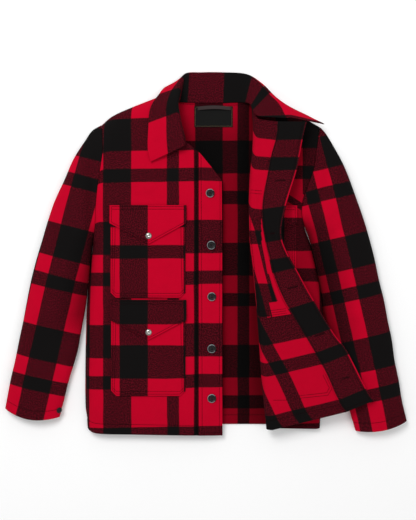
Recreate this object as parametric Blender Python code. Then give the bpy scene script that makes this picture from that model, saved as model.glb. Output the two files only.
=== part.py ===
"""Wool jacket laid flat on its back, the right front closed over it and the left front turned back
on itself. Metres, +Z up, +X to the wearer's left, +Y towards the collar, the floor at z = 0."""

import bmesh
import bpy
import numpy as np
from math import asin, atan2, cos, hypot, pi, sin

for old in list(bpy.data.objects):
    bpy.data.objects.remove(old, do_unlink=True)

# Driving sizes, in millimetres
CLOTH = 2.4
COLLAR_CLOTH = 2.8
GAP = 0.4
SEAM = 0.6
CENTRE_X = 1.0
CENTRE_Y = 1.565

FRONT_HEIGHT = 28.0
PLACKET_DROP = 9.0
PLACKET_RAMP = (-30.0, 36.0)
HEM_DROP = 5.0
HEM_RAMP = (-325.0, -393.0)
SIDE_ROUND = 34.0
SHOULDER_ROUND = 60.0

LEFT_HEIGHT = 18.0
LEFT_SIDE_ROUND = 14.0
FOLD_RADIUS = 10.0
FLAP_LOW = LEFT_HEIGHT + 2 * FOLD_RADIUS
EDGE_LIFT = 26.0

BUTTON_RADIUS = 9.5
BUTTON_THICK = 3.6
SNAP_RADIUS = 7.0

# Where along a front panel's long edges the side seam ends and the armhole starts
UNDERARM = 0.6
SIDE_ROWS = 10
ARM_ROWS = 10
ARM_STATIONS = [(1 - cos(pi * k / ARM_ROWS)) / 2 for k in range(ARM_ROWS + 1)]
ROWS = [UNDERARM * k / SIDE_ROWS for k in range(SIDE_ROWS)]
ROWS += [UNDERARM + (1 - UNDERARM) * w for w in ARM_STATIONS]


# Curves, patches and heights

def through(stations, rows):
    """A smooth curve through the rows, each at its own station."""
    t = np.array(stations, float)
    p = np.array(rows, float)
    slope = np.empty_like(p)
    slope[0] = (p[1] - p[0]) / (t[1] - t[0])
    slope[-1] = (p[-1] - p[-2]) / (t[-1] - t[-2])
    for i in range(1, len(t) - 1):
        slope[i] = (p[i + 1] - p[i - 1]) / (t[i + 1] - t[i - 1])

    def at(x):
        i = int(np.clip(np.searchsorted(t, x) - 1, 0, len(t) - 2))
        h = t[i + 1] - t[i]
        s = (x - t[i]) / h
        a = (1 + 2 * s) * (1 - s) ** 2
        b = s * (1 - s) ** 2
        c = s * s * (3 - 2 * s)
        d = s * s * (s - 1)
        return a * p[i] + b * h * slope[i] + c * p[i + 1] + d * h * slope[i + 1]

    return at


def edge(points):
    """A smooth curve through the points, evenly run from 0 to 1 by their spacing."""
    steps = [hypot(b[0] - a[0], b[1] - a[1]) for a, b in zip(points, points[1:])]
    stations = np.concatenate([[0], np.cumsum(steps)]) / sum(steps)
    return through(stations, points)


def joined(first, second, at):
    """Two curves end to end, meeting in a corner at the given station."""
    return lambda t: first(t / at) if t < at else second((t - at) / (1 - at))


def patch(left, right, bottom, top):
    """A sheet spanned between four edges, which meet at its corners."""
    corners = bottom(0), bottom(1), top(0), top(1)

    def at(u, v):
        across = (1 - v) * bottom(u) + v * top(u)
        along = (1 - u) * left(v) + u * right(v)
        low = (1 - u) * corners[0] + u * corners[1]
        high = (1 - u) * corners[2] + u * corners[3]
        return across + along - (1 - v) * low - v * high

    return at


def dome(t):
    """A quarter round that rises from 0 to 1."""
    t = min(max(t, 0.0), 1.0)
    return (1 - (1 - t) ** 2) ** 0.5


def ease(t):
    t = min(max(t, 0.0), 1.0)
    return t * t * (3 - 2 * t)


def facing_of(surface, u, v, side):
    """The surface's point and its unit normal, on the side given by the sign."""
    step = 1e-3
    du = surface(min(u + step, 1), v) - surface(max(u - step, 0), v)
    dv = surface(u, min(v + step, 1)) - surface(u, max(v - step, 0))
    normal = np.cross(du, dv)
    return surface(u, v), side * normal / np.linalg.norm(normal)


# Building solids

def material(name, colour, roughness, metallic=0.0):
    made = bpy.data.materials.new(name)
    made.use_nodes = True
    shader = made.node_tree.nodes["Principled BSDF"]
    shader.inputs["Base Color"].default_value = (*colour, 1)
    shader.inputs["Roughness"].default_value = roughness
    shader.inputs["Metallic"].default_value = metallic
    return made


def placed(point):
    return ((point[0] - CENTRE_X) / 1000, (point[1] - CENTRE_Y) / 1000, point[2] / 1000)


def finish(name, bm, look):
    bmesh.ops.recalc_face_normals(bm, faces=bm.faces[:])
    mesh = bpy.data.meshes.new(name)
    bm.to_mesh(mesh)
    bm.free()
    mesh.shade_smooth()
    mesh.set_sharp_from_angle(angle=0.7)
    made = bpy.data.objects.new(name, mesh)
    made.data.materials.append(look)
    bpy.context.scene.collection.objects.link(made)
    return made


def thick_sheet(name, look, columns, rows, surface, side, start, depth, lowest=0.0, tube=False):
    """A wall on a surface: its near face lies start away along the normal, its far face depth further."""
    bm = bmesh.new()
    across, along = len(columns) - 1, len(rows) - 1
    bmesh.ops.create_grid(bm, x_segments=across, y_segments=along, size=0.5)
    station = bm.verts.layers.int.new("station")
    near, far = {}, {}
    for vert in bm.verts:
        i = round((vert.co.x + 0.5) * across)
        j = round((vert.co.y + 0.5) * along)
        vert[station] = i * 1000 + j
        point, normal = facing_of(surface, columns[i], rows[j], side)
        near[i * 1000 + j] = point + start * normal
        far[i * 1000 + j] = point + (start + depth) * normal
    for table in near, far:
        for point in table.values():
            point[2] = max(point[2], lowest)
    for vert in bm.verts:
        vert.co = placed(near[vert[station]])
    if tube:
        bmesh.ops.remove_doubles(bm, verts=bm.verts[:], dist=1e-7)
    grown = bmesh.ops.extrude_face_region(bm, geom=bm.faces[:])["geom"]
    for vert in grown:
        if isinstance(vert, bmesh.types.BMVert):
            vert.co = placed(far[vert[station]])
    return finish(name, bm, look)


def plate(name, look, outline, low, thick):
    """A flat piece of cloth with the given outline."""
    bm = bmesh.new()
    face = bm.faces.new([bm.verts.new(placed((x, y, low))) for x, y in outline])
    grown = bmesh.ops.extrude_face_region(bm, geom=[face])["geom"]
    raised = [item for item in grown if isinstance(item, bmesh.types.BMVert)]
    bmesh.ops.translate(bm, verts=raised, vec=(0, 0, thick / 1000))
    bmesh.ops.triangulate(bm, faces=bm.faces[:])
    return finish(name, bm, look)


def turned(name, look, profile, segments):
    """A round piece from a profile of radius and height, closed on its axis."""
    bm = bmesh.new()
    path = [bm.verts.new((r / 1000, 0, z / 1000)) for r, z in profile]
    lines = [bm.edges.new(pair) for pair in zip(path, path[1:])]
    bmesh.ops.spin(bm, geom=path + lines, axis=(0, 0, 1), cent=(0, 0, 0), steps=segments, angle=2 * pi)
    bmesh.ops.remove_doubles(bm, verts=bm.verts[:], dist=1e-6)
    return finish(name, bm, look)


def stand_on(piece, point, normal, away):
    """Set a round piece on a surface, its axis along the surface's normal."""
    piece.location = placed(np.array(point) + away * np.array(normal))
    tilt = asin(min(1.0, hypot(normal[0], normal[1])))
    piece.rotation_euler = (0, tilt if normal[2] > 0 else pi - tilt, atan2(normal[1], normal[0]))


WOOL = (0.42, 0.01, 0.025)
wool = {name: material(name, WOOL, 0.95) for name in ("shell", "trim")}
black_plastic = material("button_plastic", (0.012, 0.012, 0.013), 0.22)
steel = material("snap_metal", (0.62, 0.62, 0.6), 0.28, 1.0)
label_cloth = material("label_cloth", (0.015, 0.015, 0.014), 0.8)


# Right front: side seam, armhole, shoulder, neckline, front edge and hem

RIGHT_SIDE = [(-257, -379), (-260, -318), (-260, -252), (-259, -187), (-257, -122), (-253, -67),
              (-249, -17), (-245, 22)]
RIGHT_ARMHOLE = [(-245, 22), (-239, 58), (-237, 103), (-233, 146), (-227, 185), (-222, 223),
                 (-223, 253), (-226, 281)]
RIGHT_SHOULDER = [(-226, 281), (-203, 300), (-162, 319), (-114, 338), (-73, 354)]
RIGHT_NECKLINE = [(-73, 354), (-66, 321), (-58, 287), (-50, 252), (-16, 221), (10, 191), (35, 159)]
RIGHT_EDGE = [(37, -393), (36, -227), (36, 30), (35, 159)]
RIGHT_HEM = [(-257, -379), (-244, -386), (-218, -389), (-162, -390), (-76, -391.5), (37, -393)]
NECK_POINT = 0.42

right_long_edge = joined(edge(RIGHT_SIDE), edge(RIGHT_ARMHOLE), UNDERARM)
right_top = joined(edge(RIGHT_SHOULDER), edge(RIGHT_NECKLINE), NECK_POINT)
right_plan = patch(right_long_edge, edge(RIGHT_EDGE), edge(RIGHT_HEM), right_top)
neck_rise = through([0, 0.25, 0.5, 0.75, 1], [[0], [0.62], [0.9], [1], [1]])
SEAT = CLOTH + GAP


def armhole_rise(v):
    """How far the armhole's edge stands up, from none at its two ends."""
    w = (v - UNDERARM) / (1 - UNDERARM)
    return 0.9 * dome(min(w, 1 - w) / 0.3) if w > 0 else 0.0


def right_front(u, v):
    plan = right_plan(u, v)
    level = FRONT_HEIGHT
    level -= PLACKET_DROP * min(max((plan[0] - PLACKET_RAMP[0]) / (PLACKET_RAMP[1] - PLACKET_RAMP[0]), 0), 1)
    level -= HEM_DROP * ease((plan[1] - HEM_RAMP[0]) / (HEM_RAMP[1] - HEM_RAMP[0]))
    from_side = np.linalg.norm(plan - right_plan(0, v))
    side = armhole_rise(v)
    side += (1 - side) * dome(from_side / SIDE_ROUND)
    from_top = np.linalg.norm(plan - right_plan(u, 1))
    top = float(neck_rise((u - NECK_POINT) / (1 - NECK_POINT))[0]) if u > NECK_POINT else 0.0
    top += (1 - top) * dome(from_top / SHOULDER_ROUND)
    return np.array([plan[0], plan[1], SEAT + (level - SEAT) * side * top])


RIGHT_COLUMNS = [0, 0.012, 0.035, 0.07, 0.12, 0.2, 0.28, 0.35, NECK_POINT, 0.5, 0.58, 0.66, 0.75, 0.833,
                 0.915, 1]
PLACKET_LEFT = -14.8


def placket(u, v):
    """The strip along the front edge, from its straight inner edge at 0 to the front edge at 1."""
    columns = [0.7 + 0.3 * k / 12 for k in range(13)]
    across = [right_plan(column, v)[0] for column in columns]
    x = PLACKET_LEFT + (across[-1] - PLACKET_LEFT) * u
    return right_front(float(np.interp(x, across, columns)), v)


thick_sheet("front_right", wool["shell"], RIGHT_COLUMNS, ROWS, right_front, -1, 0, CLOTH, SEAT)
thick_sheet("placket_right", wool["trim"], [0, 0.5, 1], ROWS, placket, 1, GAP, CLOTH)


# Left front: the part that stays face up, the rolled fold and the part turned back

LEFT_SIDE = [(249, -379), (253, -318), (256, -231), (257, -144), (250, -78), (239, -24), (228, 20),
             (216, 56)]
LEFT_ARMHOLE = [(216, 56), (209, 86), (211, 116), (222, 148), (235, 185), (240, 221), (244, 245),
                (250, 276)]
FOLD = [(131, -377), (120, -264), (114, -175), (107, -87), (98, 0), (95, 26), (93, 85), (93, 119),
        (96, 179), (103, 249), (105, 288)]
FOLD_SHOULDER_END = (97, 333)
FACING_SEAM = [(299, -338), (288, -323), (254, -251), (241, -226), (221, -191), (184, -128), (165, -96),
               (144, -43), (137, -13), (128, 28), (120, 97), (133, 183), (139, 214), (150, 252), (152, 283)]
FREE_EDGE = [(360, -312), (347, -295), (310, -223), (298, -201), (274, -170), (238, -111), (214, -70),
             (193, -31), (180, -9), (162, 38), (169, 92), (194, 177), (201, 211), (208, 250), (216, 282)]
FOLD_START = 0.4
FOLD_END = 0.56
SEAM_AT = 0.8

left_long_edge = joined(edge(LEFT_SIDE), edge(LEFT_ARMHOLE), UNDERARM)
fold_low = edge(FOLD[:-1] + [FOLD_SHOULDER_END])
fold_high = edge(FOLD)
facing_seam = edge(FACING_SEAM)
free_edge = edge(FREE_EDGE)
turned_height = through([0, 0.3, 0.7, 1], [[3.0, 5.0], [3.0, 6.0], [5.0, 5.0], [3.0, 5.0]])


def left_low(t, v):
    """The part that stays face up, from the side at t = 0 to the fold at t = 1."""
    outer = left_long_edge(v)
    inner = fold_low(v) + [FOLD_RADIUS + CLOTH, 0]
    plan = outer + (inner - outer) * t
    top_plan = left_long_edge(1) + (fold_low(1) + [FOLD_RADIUS + CLOTH, 0] - left_long_edge(1)) * t
    from_side = np.linalg.norm(plan - outer)
    side = armhole_rise(v)
    side += (1 - side) * dome(from_side / LEFT_SIDE_ROUND)
    top = dome(np.linalg.norm(plan - top_plan) / SHOULDER_ROUND)
    return np.array([plan[0], plan[1], SEAT + (LEFT_HEIGHT - SEAT) * side * top])


def left_high(t, v):
    """The turned-back part's under face, from the fold at 0 past the facing's seam at 1 to its edge at 2."""
    start = fold_high(v) + [FOLD_RADIUS + CLOTH, 0]
    seam = facing_seam(v)
    end = free_edge(v)
    rise_seam, rise_end = turned_height(v)
    lift = EDGE_LIFT * np.exp(-(((v - 0.64) / 0.12) ** 2))
    if t < 1:
        plan = start + (seam - start) * t
        level = FLAP_LOW + rise_seam * ease(t)
    else:
        plan = seam + (end - seam) * (t - 1)
        level = FLAP_LOW + rise_seam + (rise_end - rise_seam) * (t - 1) + lift * (t - 1) ** 1.5
    return np.array([plan[0], plan[1], level])


def left_front(u, v):
    if u <= FOLD_START:
        return left_low(u / FOLD_START, v)
    if u >= FOLD_END:
        past = (u - FOLD_END) / (SEAM_AT - FOLD_END)
        return left_high(min(past, 1) if u <= SEAM_AT else 1 + (u - SEAM_AT) / (1 - SEAM_AT), v)
    low, high = left_low(1, v), left_high(0, v)
    turn = pi * (u - FOLD_START) / (FOLD_END - FOLD_START)
    radius = (high[2] - low[2]) / 2
    half = (1 - cos(turn)) / 2
    return np.array([low[0] + (high[0] - low[0]) * half - FOLD_RADIUS * sin(turn),
                     low[1] + (high[1] - low[1]) * half,
                     low[2] + 2 * radius * half])


LEFT_COLUMNS = [0, 0.01, 0.025, 0.05, 0.1, 0.2, 0.3, FOLD_START]
LEFT_COLUMNS += [FOLD_START + (FOLD_END - FOLD_START) * k / 6 for k in range(1, 7)]
LEFT_COLUMNS += [0.62, 0.68, 0.74, SEAM_AT, 0.86, 0.93, 1]
thick_sheet("front_left", wool["shell"], LEFT_COLUMNS, ROWS, left_front, 1, 0, CLOTH, SEAT)
thick_sheet("facing_left", wool["trim"], LEFT_COLUMNS[-4:], ROWS, left_front, 1, CLOTH + GAP, 1.8)
pocket_columns = [u for u in LEFT_COLUMNS if 0.5 < u < SEAM_AT] + [SEAM_AT - 0.006]
pocket_rows = [v for v in ROWS if 0.35 < v < 0.7]
thick_sheet("inner_pocket_left", wool["trim"], pocket_columns, pocket_rows, left_front, 1,
            CLOTH + GAP, 1.6)


# Back: one flat piece whose armholes and sides follow the fronts'

NECK_BACK = [(-73, 354), (-58, 338), (-30, 333), (14, 332), (60, 332), (97, 334)]
BACK_HEM = [(-257, -379), (-150, -374), (38, -371), (130, -371), (200, -373), (249, -379)]
BACK_INSET = SEAM


def inset(point, middle=-5.0):
    """A point moved a seam's width towards the back's middle."""
    x, y = point
    return (x + BACK_INSET if x < middle else x - BACK_INSET, y)


back_outline = [inset(right_long_edge(v)) for v in ROWS[1:-1]]
back_outline += [tuple(edge(RIGHT_SHOULDER)(k / 6)) for k in range(6)]
back_outline += [tuple(edge(NECK_BACK)(k / 10)) for k in range(10)]
back_outline += [(97, 334), (150, 313), (200, 294)]
back_outline += [inset(left_long_edge(v)) for v in reversed(ROWS[1:])]
back_outline += [tuple(edge(BACK_HEM)(1 - k / 12)) for k in range(13)]
plate("back", wool["shell"], back_outline[::-1], 0, CLOTH)


# Sleeves: flattened tubes from the armhole to the cuff

RIGHT_SLEEVE_OUTER = [(-226, 281), (-246, 269), (-261, 247), (-287, 204), (-306, 160), (-326, 117),
                      (-341, 74), (-354, 30), (-367, -13), (-378, -56), (-387, -100), (-395, -143),
                      (-404, -186), (-413, -230), (-423, -273), (-435, -335)]
RIGHT_SLEEVE_INNER = [(-245, 22), (-252, -17), (-256, -45), (-259, -78), (-264, -121), (-270, -169),
                      (-277, -208), (-287, -243), (-298, -279), (-307, -316), (-317, -354)]
LEFT_SLEEVE_OUTER = [(250, 276), (262, 262), (283, 225), (304, 182), (328, 117), (343, 74), (356, 30),
                     (367, -13), (376, -56), (387, -100), (395, -143), (404, -186), (410, -230),
                     (419, -273), (426, -316), (437, -362)]
LEFT_SLEEVE_INNER = [(216, 56), (223, 38), (229.8, 17), (242.6, -35), (251.6, -78), (258, -121), (267, -175),
                     (279, -219), (291, -262), (304, -305), (313, -340), (326, -384)]
SLEEVE_HEIGHT = through([0, 0.1, 0.3, 0.6, 0.85, 1], [[30], [36], [37], [33], [31], [27]])


def oval(w, power):
    return max(1 - abs(2 * w - 1) ** power, 0) ** (1 / power)


def sleeve(panel, long_edge, outer, inner, cuff_bow, away):
    """A tube's surface: u runs round it from its outer edge over the top, v from armhole to cuff."""
    outer, inner = edge(outer), edge(inner)

    def arm(w):
        return UNDERARM + (1 - UNDERARM) * (1 - w)

    def at(u, v):
        over = u <= 0.5
        w = 2 * u if over else 2 - 2 * u
        w = (1 - cos(pi * w)) / 2
        a, b = outer(v), inner(v)
        plan = a + (b - a) * w
        straight = outer(0) + (inner(0) - outer(0)) * w
        plan = plan + (long_edge(arm(w)) - straight) * (1 - ease(v / 0.3))
        clear = 1 + 3.5 * (1 - sin(pi * w)) ** 4
        plan = plan + np.array([away * clear, 0]) * (1 - ease(v / 0.1))
        plan = plan + np.array(cuff_bow) * sin(pi * w) * ease((v - 0.75) / 0.25)
        high = float(SLEEVE_HEIGHT(v)[0])
        middle = 0.36 * high
        head = 1 - ease(v / 0.14)
        if over:
            level = middle + (high - middle) * oval(w, 2.4)
            level += (panel(0, arm(w))[2] - level) * head
        else:
            level = middle * (1 - oval(w, 3.5))
            level += (SEAT * (1 - oval(w, 3.5)) - level) * head
        return np.array([plan[0], plan[1], level])

    return at


RING = [k / (2 * ARM_ROWS) for k in range(2 * ARM_ROWS + 1)]
SLEEVE_ROWS = [0, 0.03, 0.07, 0.11, 0.16, 0.24, 0.33, 0.43, 0.54, 0.65, 0.76, 0.86, 0.94, 1]
right_sleeve = sleeve(right_front, right_long_edge, RIGHT_SLEEVE_OUTER, RIGHT_SLEEVE_INNER, (-3, -13), -SEAM)
left_sleeve = sleeve(left_front, left_long_edge, LEFT_SLEEVE_OUTER, LEFT_SLEEVE_INNER, (2, -8), SEAM)
thick_sheet("sleeve_right", wool["shell"], RING, SLEEVE_ROWS, right_sleeve, 1, 0, CLOTH, 0, tube=True)
thick_sheet("sleeve_left", wool["shell"], RING, SLEEVE_ROWS, left_sleeve, -1, 0, CLOTH, 0, tube=True)


# Collar: neck seam, start and end of the roll, and outer edge, from the right end round to the left

COLLAR = [
    # along  neck seam        roll starts      roll ends        outer edge
    (0.00, (-44, 250, 27), (-44, 238, 39), (-50, 228, 44), (-118, 197, 31)),
    (0.10, (-48, 264, 26), (-48, 260, 40), (-56, 258, 46), (-124, 226, 32)),
    (0.22, (-55, 290, 24), (-54, 290, 39), (-62, 291, 45), (-123, 268, 31)),
    (0.32, (-61, 318, 18), (-59, 321, 34), (-67, 325, 40), (-119, 314, 26)),
    (0.40, (-64, 334, 9), (-55, 350, 22), (-62, 357, 27), (-100, 346, 19)),
    (0.45, (-58, 331, 5), (-50, 370, 14), (-56, 378, 13), (-84, 364, 5)),
    (0.50, (-45, 330, 4.3), (-41, 387, 9), (-42, 391, 3), (-48, 362, 1.8)),
    (0.58, (-10, 329, 4.3), (-8, 391, 8.5), (-8, 391, 1.8), (-8, 346, 1.6)),
    (0.68, (35, 329, 4.3), (37, 391, 8.5), (37, 391, 1.8), (36, 346, 1.6)),
    (0.77, (78, 330, 5), (86, 386, 11), (88, 387, 3), (80, 352, 1.8)),
    (0.85, (95, 324, 23), (114, 366, 20), (119, 367, 11), (103, 348, 5)),
    (0.91, (101, 308, 36), (131, 341, 29), (142, 344, 22), (141, 328, 16)),
    (0.96, (107, 298, 43), (152, 317, 38), (172, 318, 34), (208, 303, 26)),
    (1.00, (115, 293, 45), (165, 290, 46), (188, 290, 45), (255, 278, 36)),
]
NECK_SEAT = SEAT + COLLAR_CLOTH / 2 + 0.3
collar_points = through([row[0] for row in COLLAR], [sum(row[1:], ()) for row in COLLAR])


def collar(u, v):
    """u runs from the neck seam over the roll to the outer edge, v from the right end to the left."""
    neck, start, end, outer = collar_points(v).reshape(4, 3)
    neck[2] = max(neck[2], NECK_SEAT)
    if u < 0.35:
        return neck + (start - neck) * u / 0.35
    if u > 0.6:
        return end + (outer - end) * (u - 0.6) / 0.4
    t = (u - 0.35) / 0.25
    into = (start - neck) / np.linalg.norm(start - neck)
    out = (outer - end) / np.linalg.norm(outer - end)
    reach = np.linalg.norm(end - start) * (1 / 3 + (1 - into @ out) / 6)
    a, b = start + into * reach, end - out * reach
    return (1 - t) ** 3 * start + 3 * t * (1 - t) ** 2 * a + 3 * t * t * (1 - t) * b + t ** 3 * end


COLLAR_COLUMNS = [0, 0.18, 0.35, 0.41, 0.475, 0.54, 0.6, 0.73, 0.87, 1]
COLLAR_ROWS = [k / 34 for k in range(35)]
thick_sheet("collar", wool["trim"], COLLAR_COLUMNS, COLLAR_ROWS, collar, 1, -COLLAR_CLOTH / 2,
            COLLAR_CLOTH, 0)


# Pockets: a bag with cut corners and a pointed flap, on the flat of each front

POCKETS = [
    # name, left, right, bag top, bag foot, flap top, flap side ends, flap point, point's x, panel's height
    ("upper_right", -204, -43, 102, -95, 105, 66, 21, -122, FRONT_HEIGHT),
    ("lower_right", -203, -43, -101, -306, -98.5, -142, -185, -122, FRONT_HEIGHT),
    ("upper_left", 123, 196, 102, -95, 105, 66, 24, 124, LEFT_HEIGHT),
    ("lower_left", 140, 203, -101, -306, -98.5, -142, -184, 141, LEFT_HEIGHT),
]
POCKET_CUT = 12.0
FLAP_OVER = 2.0

for name, left, right, top, foot, flap_top, flap_side, point, point_x, height in POCKETS:
    bag = [(left, top), (left, foot + POCKET_CUT), (left + POCKET_CUT, foot), (right - POCKET_CUT, foot),
           (right, foot + POCKET_CUT), (right, top)]
    flap = [(left - FLAP_OVER, flap_top), (left - FLAP_OVER, flap_side), (point_x, point),
            (right + FLAP_OVER, flap_side), (right + FLAP_OVER, flap_top)]
    if height == LEFT_HEIGHT:
        bag[1:3] = [(left, foot)]
        flap[1:3] = [(left - FLAP_OVER, point)]
    plate("pocket_" + name, wool["trim"], bag, height + GAP, CLOTH)
    plate("flap_" + name, wool["trim"], flap, height + 2 * GAP + CLOTH, CLOTH)


# Buttons, snaps, label and hanging loop

BUTTON_PROFILE = [(0, 0), (7.2, 0), (9.1, 0.9), (9.5, 2.1), (8.6, 3.5), (7.0, 3.6), (6.0, 2.7), (0, 2.4)]
BUTTONS = [(9.5, 131), (12, 19), (13, -92), (13, -204), (13, -311)]
ramp = PLACKET_DROP / (PLACKET_RAMP[1] - PLACKET_RAMP[0])
for number, (x, y) in enumerate(BUTTONS, 1):
    button = turned(f"button_{number}", black_plastic, BUTTON_PROFILE, 24)
    level = FRONT_HEIGHT - ramp * (x - PLACKET_RAMP[0])
    normal = np.array([ramp, 0, 1]) / hypot(ramp, 1)
    stand_on(button, (x, y, level), normal, CLOTH + 2 * GAP)

SNAP_PROFILE = [(0, 0), (6.4, 0), (7.0, 0.7), (6.6, 1.7), (5.0, 2.8), (2.6, 3.3), (1.6, 2.9), (0, 2.7)]
for name, y in (("snap_upper_right", 39), ("snap_lower_right", -168)):
    snap = turned(name, steel, SNAP_PROFILE, 20)
    stand_on(snap, (-122, y, FRONT_HEIGHT), (0, 0, 1), 2 * CLOTH + 3 * GAP)

CUFF_PROFILE = [(0, 0), (5.4, 0), (6.4, 0.8), (6.4, 1.8), (5.4, 2.6), (0, 2.2)]
cuff_button = turned("cuff_button_right", black_plastic, CUFF_PROFILE, 18)
where, outward = facing_of(right_sleeve, 0.44, 0.955, -1)
stand_on(cuff_button, where, outward, GAP)

LABEL = [(-24, 277), (59, 277), (59, 322), (-24, 322)]
plate("label", label_cloth, LABEL, CLOTH + GAP, 0.9)


def loop_path(u, v):
    """A narrow strip that arches along the top of the label, sewn down at its two ends."""
    return np.array([-17 + 72 * u, 313 + 8 * v + 2 * sin(pi * u), CLOTH + 0.9 + 2 * GAP + 4 * sin(pi * u)])


LOOP_COLUMNS = [k / 10 for k in range(11)]
thick_sheet("hanging_loop", wool["trim"], LOOP_COLUMNS, [0, 1], loop_path, 1, 0, 1.6)
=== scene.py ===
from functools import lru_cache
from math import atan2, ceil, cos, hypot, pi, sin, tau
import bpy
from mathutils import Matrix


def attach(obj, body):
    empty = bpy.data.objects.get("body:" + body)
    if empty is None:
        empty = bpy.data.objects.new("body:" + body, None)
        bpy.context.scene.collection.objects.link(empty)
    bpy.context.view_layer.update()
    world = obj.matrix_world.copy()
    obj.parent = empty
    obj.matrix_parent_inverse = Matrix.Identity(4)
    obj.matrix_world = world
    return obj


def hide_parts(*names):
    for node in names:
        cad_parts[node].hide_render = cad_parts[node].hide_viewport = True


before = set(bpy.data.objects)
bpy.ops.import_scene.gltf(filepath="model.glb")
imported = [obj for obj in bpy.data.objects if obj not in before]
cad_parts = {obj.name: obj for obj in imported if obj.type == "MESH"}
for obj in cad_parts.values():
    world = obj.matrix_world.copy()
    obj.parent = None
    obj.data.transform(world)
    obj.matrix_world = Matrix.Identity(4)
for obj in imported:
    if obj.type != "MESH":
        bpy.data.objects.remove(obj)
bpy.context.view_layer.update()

# %% [markdown]
# # A plaid wool jacket, laid flat
# The jacket lies on its back. Its right front is closed over it and its left front is turned back, so
# that the inside shows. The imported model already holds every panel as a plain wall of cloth. Here each
# panel is made again on the same surface, with a finer mesh, creases, seams and woven colour.

# %% What this lesson needs
from types import SimpleNamespace

import bmesh
import bpy
import numpy as np
from mathutils import Matrix, Vector

# %% [markdown]
# ## Sizes
# Every size is a name in millimetres. They are the same as the solids' own, because a fine piece has to
# lie exactly where its plain wall lies.

# %% Sizes of the cloth and of its layers
CLOTH = 2.4
COLLAR_CLOTH = 2.8
GAP = 0.4
SEAM = 0.6
CENTRE_X = 1.0
CENTRE_Y = 1.565

FRONT_HEIGHT = 28.0
PLACKET_DROP = 9.0
PLACKET_RAMP = (-30.0, 36.0)
HEM_DROP = 5.0
HEM_RAMP = (-325.0, -393.0)
SIDE_ROUND = 34.0
SHOULDER_ROUND = 60.0

LEFT_HEIGHT = 18.0
LEFT_SIDE_ROUND = 14.0
FOLD_RADIUS = 10.0
FLAP_LOW = LEFT_HEIGHT + 2 * FOLD_RADIUS
EDGE_LIFT = 26.0

# %% Rows that every front panel shares
# Where along a front panel's long edges the side seam ends and the armhole starts
UNDERARM = 0.6
SIDE_ROWS = 10
ARM_ROWS = 10
ARM_STATIONS = [(1 - cos(pi * k / ARM_ROWS)) / 2 for k in range(ARM_ROWS + 1)]
ROWS = [UNDERARM * k / SIDE_ROWS for k in range(SIDE_ROWS)]
ROWS += [UNDERARM + (1 - UNDERARM) * w for w in ARM_STATIONS]

# %% [markdown]
# ## Curves and patches
# A garment's panel has four edges. A smooth curve goes through a few points of each edge, and a Coons
# patch spans the sheet between them. The maker of a paper pattern works the same way: edges first.

# %% Curves through points, and a sheet between four edges
def through(stations, rows):
    """A smooth curve through the rows, each at its own station."""
    t = np.array(stations, float)
    p = np.array(rows, float)
    slope = np.empty_like(p)
    slope[0] = (p[1] - p[0]) / (t[1] - t[0])
    slope[-1] = (p[-1] - p[-2]) / (t[-1] - t[-2])
    for i in range(1, len(t) - 1):
        slope[i] = (p[i + 1] - p[i - 1]) / (t[i + 1] - t[i - 1])

    def at(x):
        i = int(np.clip(np.searchsorted(t, x) - 1, 0, len(t) - 2))
        h = t[i + 1] - t[i]
        s = (x - t[i]) / h
        a = (1 + 2 * s) * (1 - s) ** 2
        b = s * (1 - s) ** 2
        c = s * s * (3 - 2 * s)
        d = s * s * (s - 1)
        return a * p[i] + b * h * slope[i] + c * p[i + 1] + d * h * slope[i + 1]

    return at


def edge(points):
    """A smooth curve through the points, evenly run from 0 to 1 by their spacing."""
    steps = [hypot(b[0] - a[0], b[1] - a[1]) for a, b in zip(points, points[1:])]
    stations = np.concatenate([[0], np.cumsum(steps)]) / sum(steps)
    return through(stations, points)


def joined(first, second, at):
    """Two curves end to end, meeting in a corner at the given station."""
    return lambda t: first(t / at) if t < at else second((t - at) / (1 - at))


def patch(left, right, bottom, top):
    """A sheet spanned between four edges, which meet at its corners."""
    corners = bottom(0), bottom(1), top(0), top(1)

    def at(u, v):
        across = (1 - v) * bottom(u) + v * top(u)
        along = (1 - u) * left(v) + u * right(v)
        low = (1 - u) * corners[0] + u * corners[1]
        high = (1 - u) * corners[2] + u * corners[3]
        return across + along - (1 - v) * low - v * high

    return at


def dome(t):
    """A quarter round that rises from 0 to 1."""
    t = min(max(t, 0.0), 1.0)
    return (1 - (1 - t) ** 2) ** 0.5


def ease(t):
    t = min(max(t, 0.0), 1.0)
    return t * t * (3 - 2 * t)
def placed(point):
    return ((point[0] - CENTRE_X) / 1000, (point[1] - CENTRE_Y) / 1000, point[2] / 1000)

def remembering(make):
    """The same maker of curves, whose curves work each station out only once."""
    return lambda *given: lru_cache(maxsize=None)(make(*given))


through = remembering(through)
print("curves and patches are ready")

# %% [markdown]
# ## The woven check
# The cloth is a twill of red and black yarns. Where red crosses red it is bright red, where black crosses
# black it is black, and where they cross each other it is a dark heathered red. Two ramps hold the bands
# of the columns and of the rows, and a diagonal wave picks which yarn lies on top. The pattern follows
# the piece's own UV map, which is measured in metres of cloth, so that it stays square on every panel.

# %% Bands of dark yarn, as shares of one repeat
COLUMN_REPEAT = 195.7
ROW_REPEAT = 222.5
DARK_COLUMNS = [(0, 60), (137, 163)]
DARK_ROWS = [(0, 71), (109, 138)]
BAND_BLUR = 0.7
RED_YARN = (0.475, 0.0004, 0.0175)
HEATHER_LIGHT = (0.12, 0.0035, 0.011)
HEATHER_DARK = (0.0062, 0.0012, 0.0018)
TWILL_PITCH = 0.0021


def link(tree, pairs):
    for source, target in pairs:
        tree.links.new(source, target)


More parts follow.
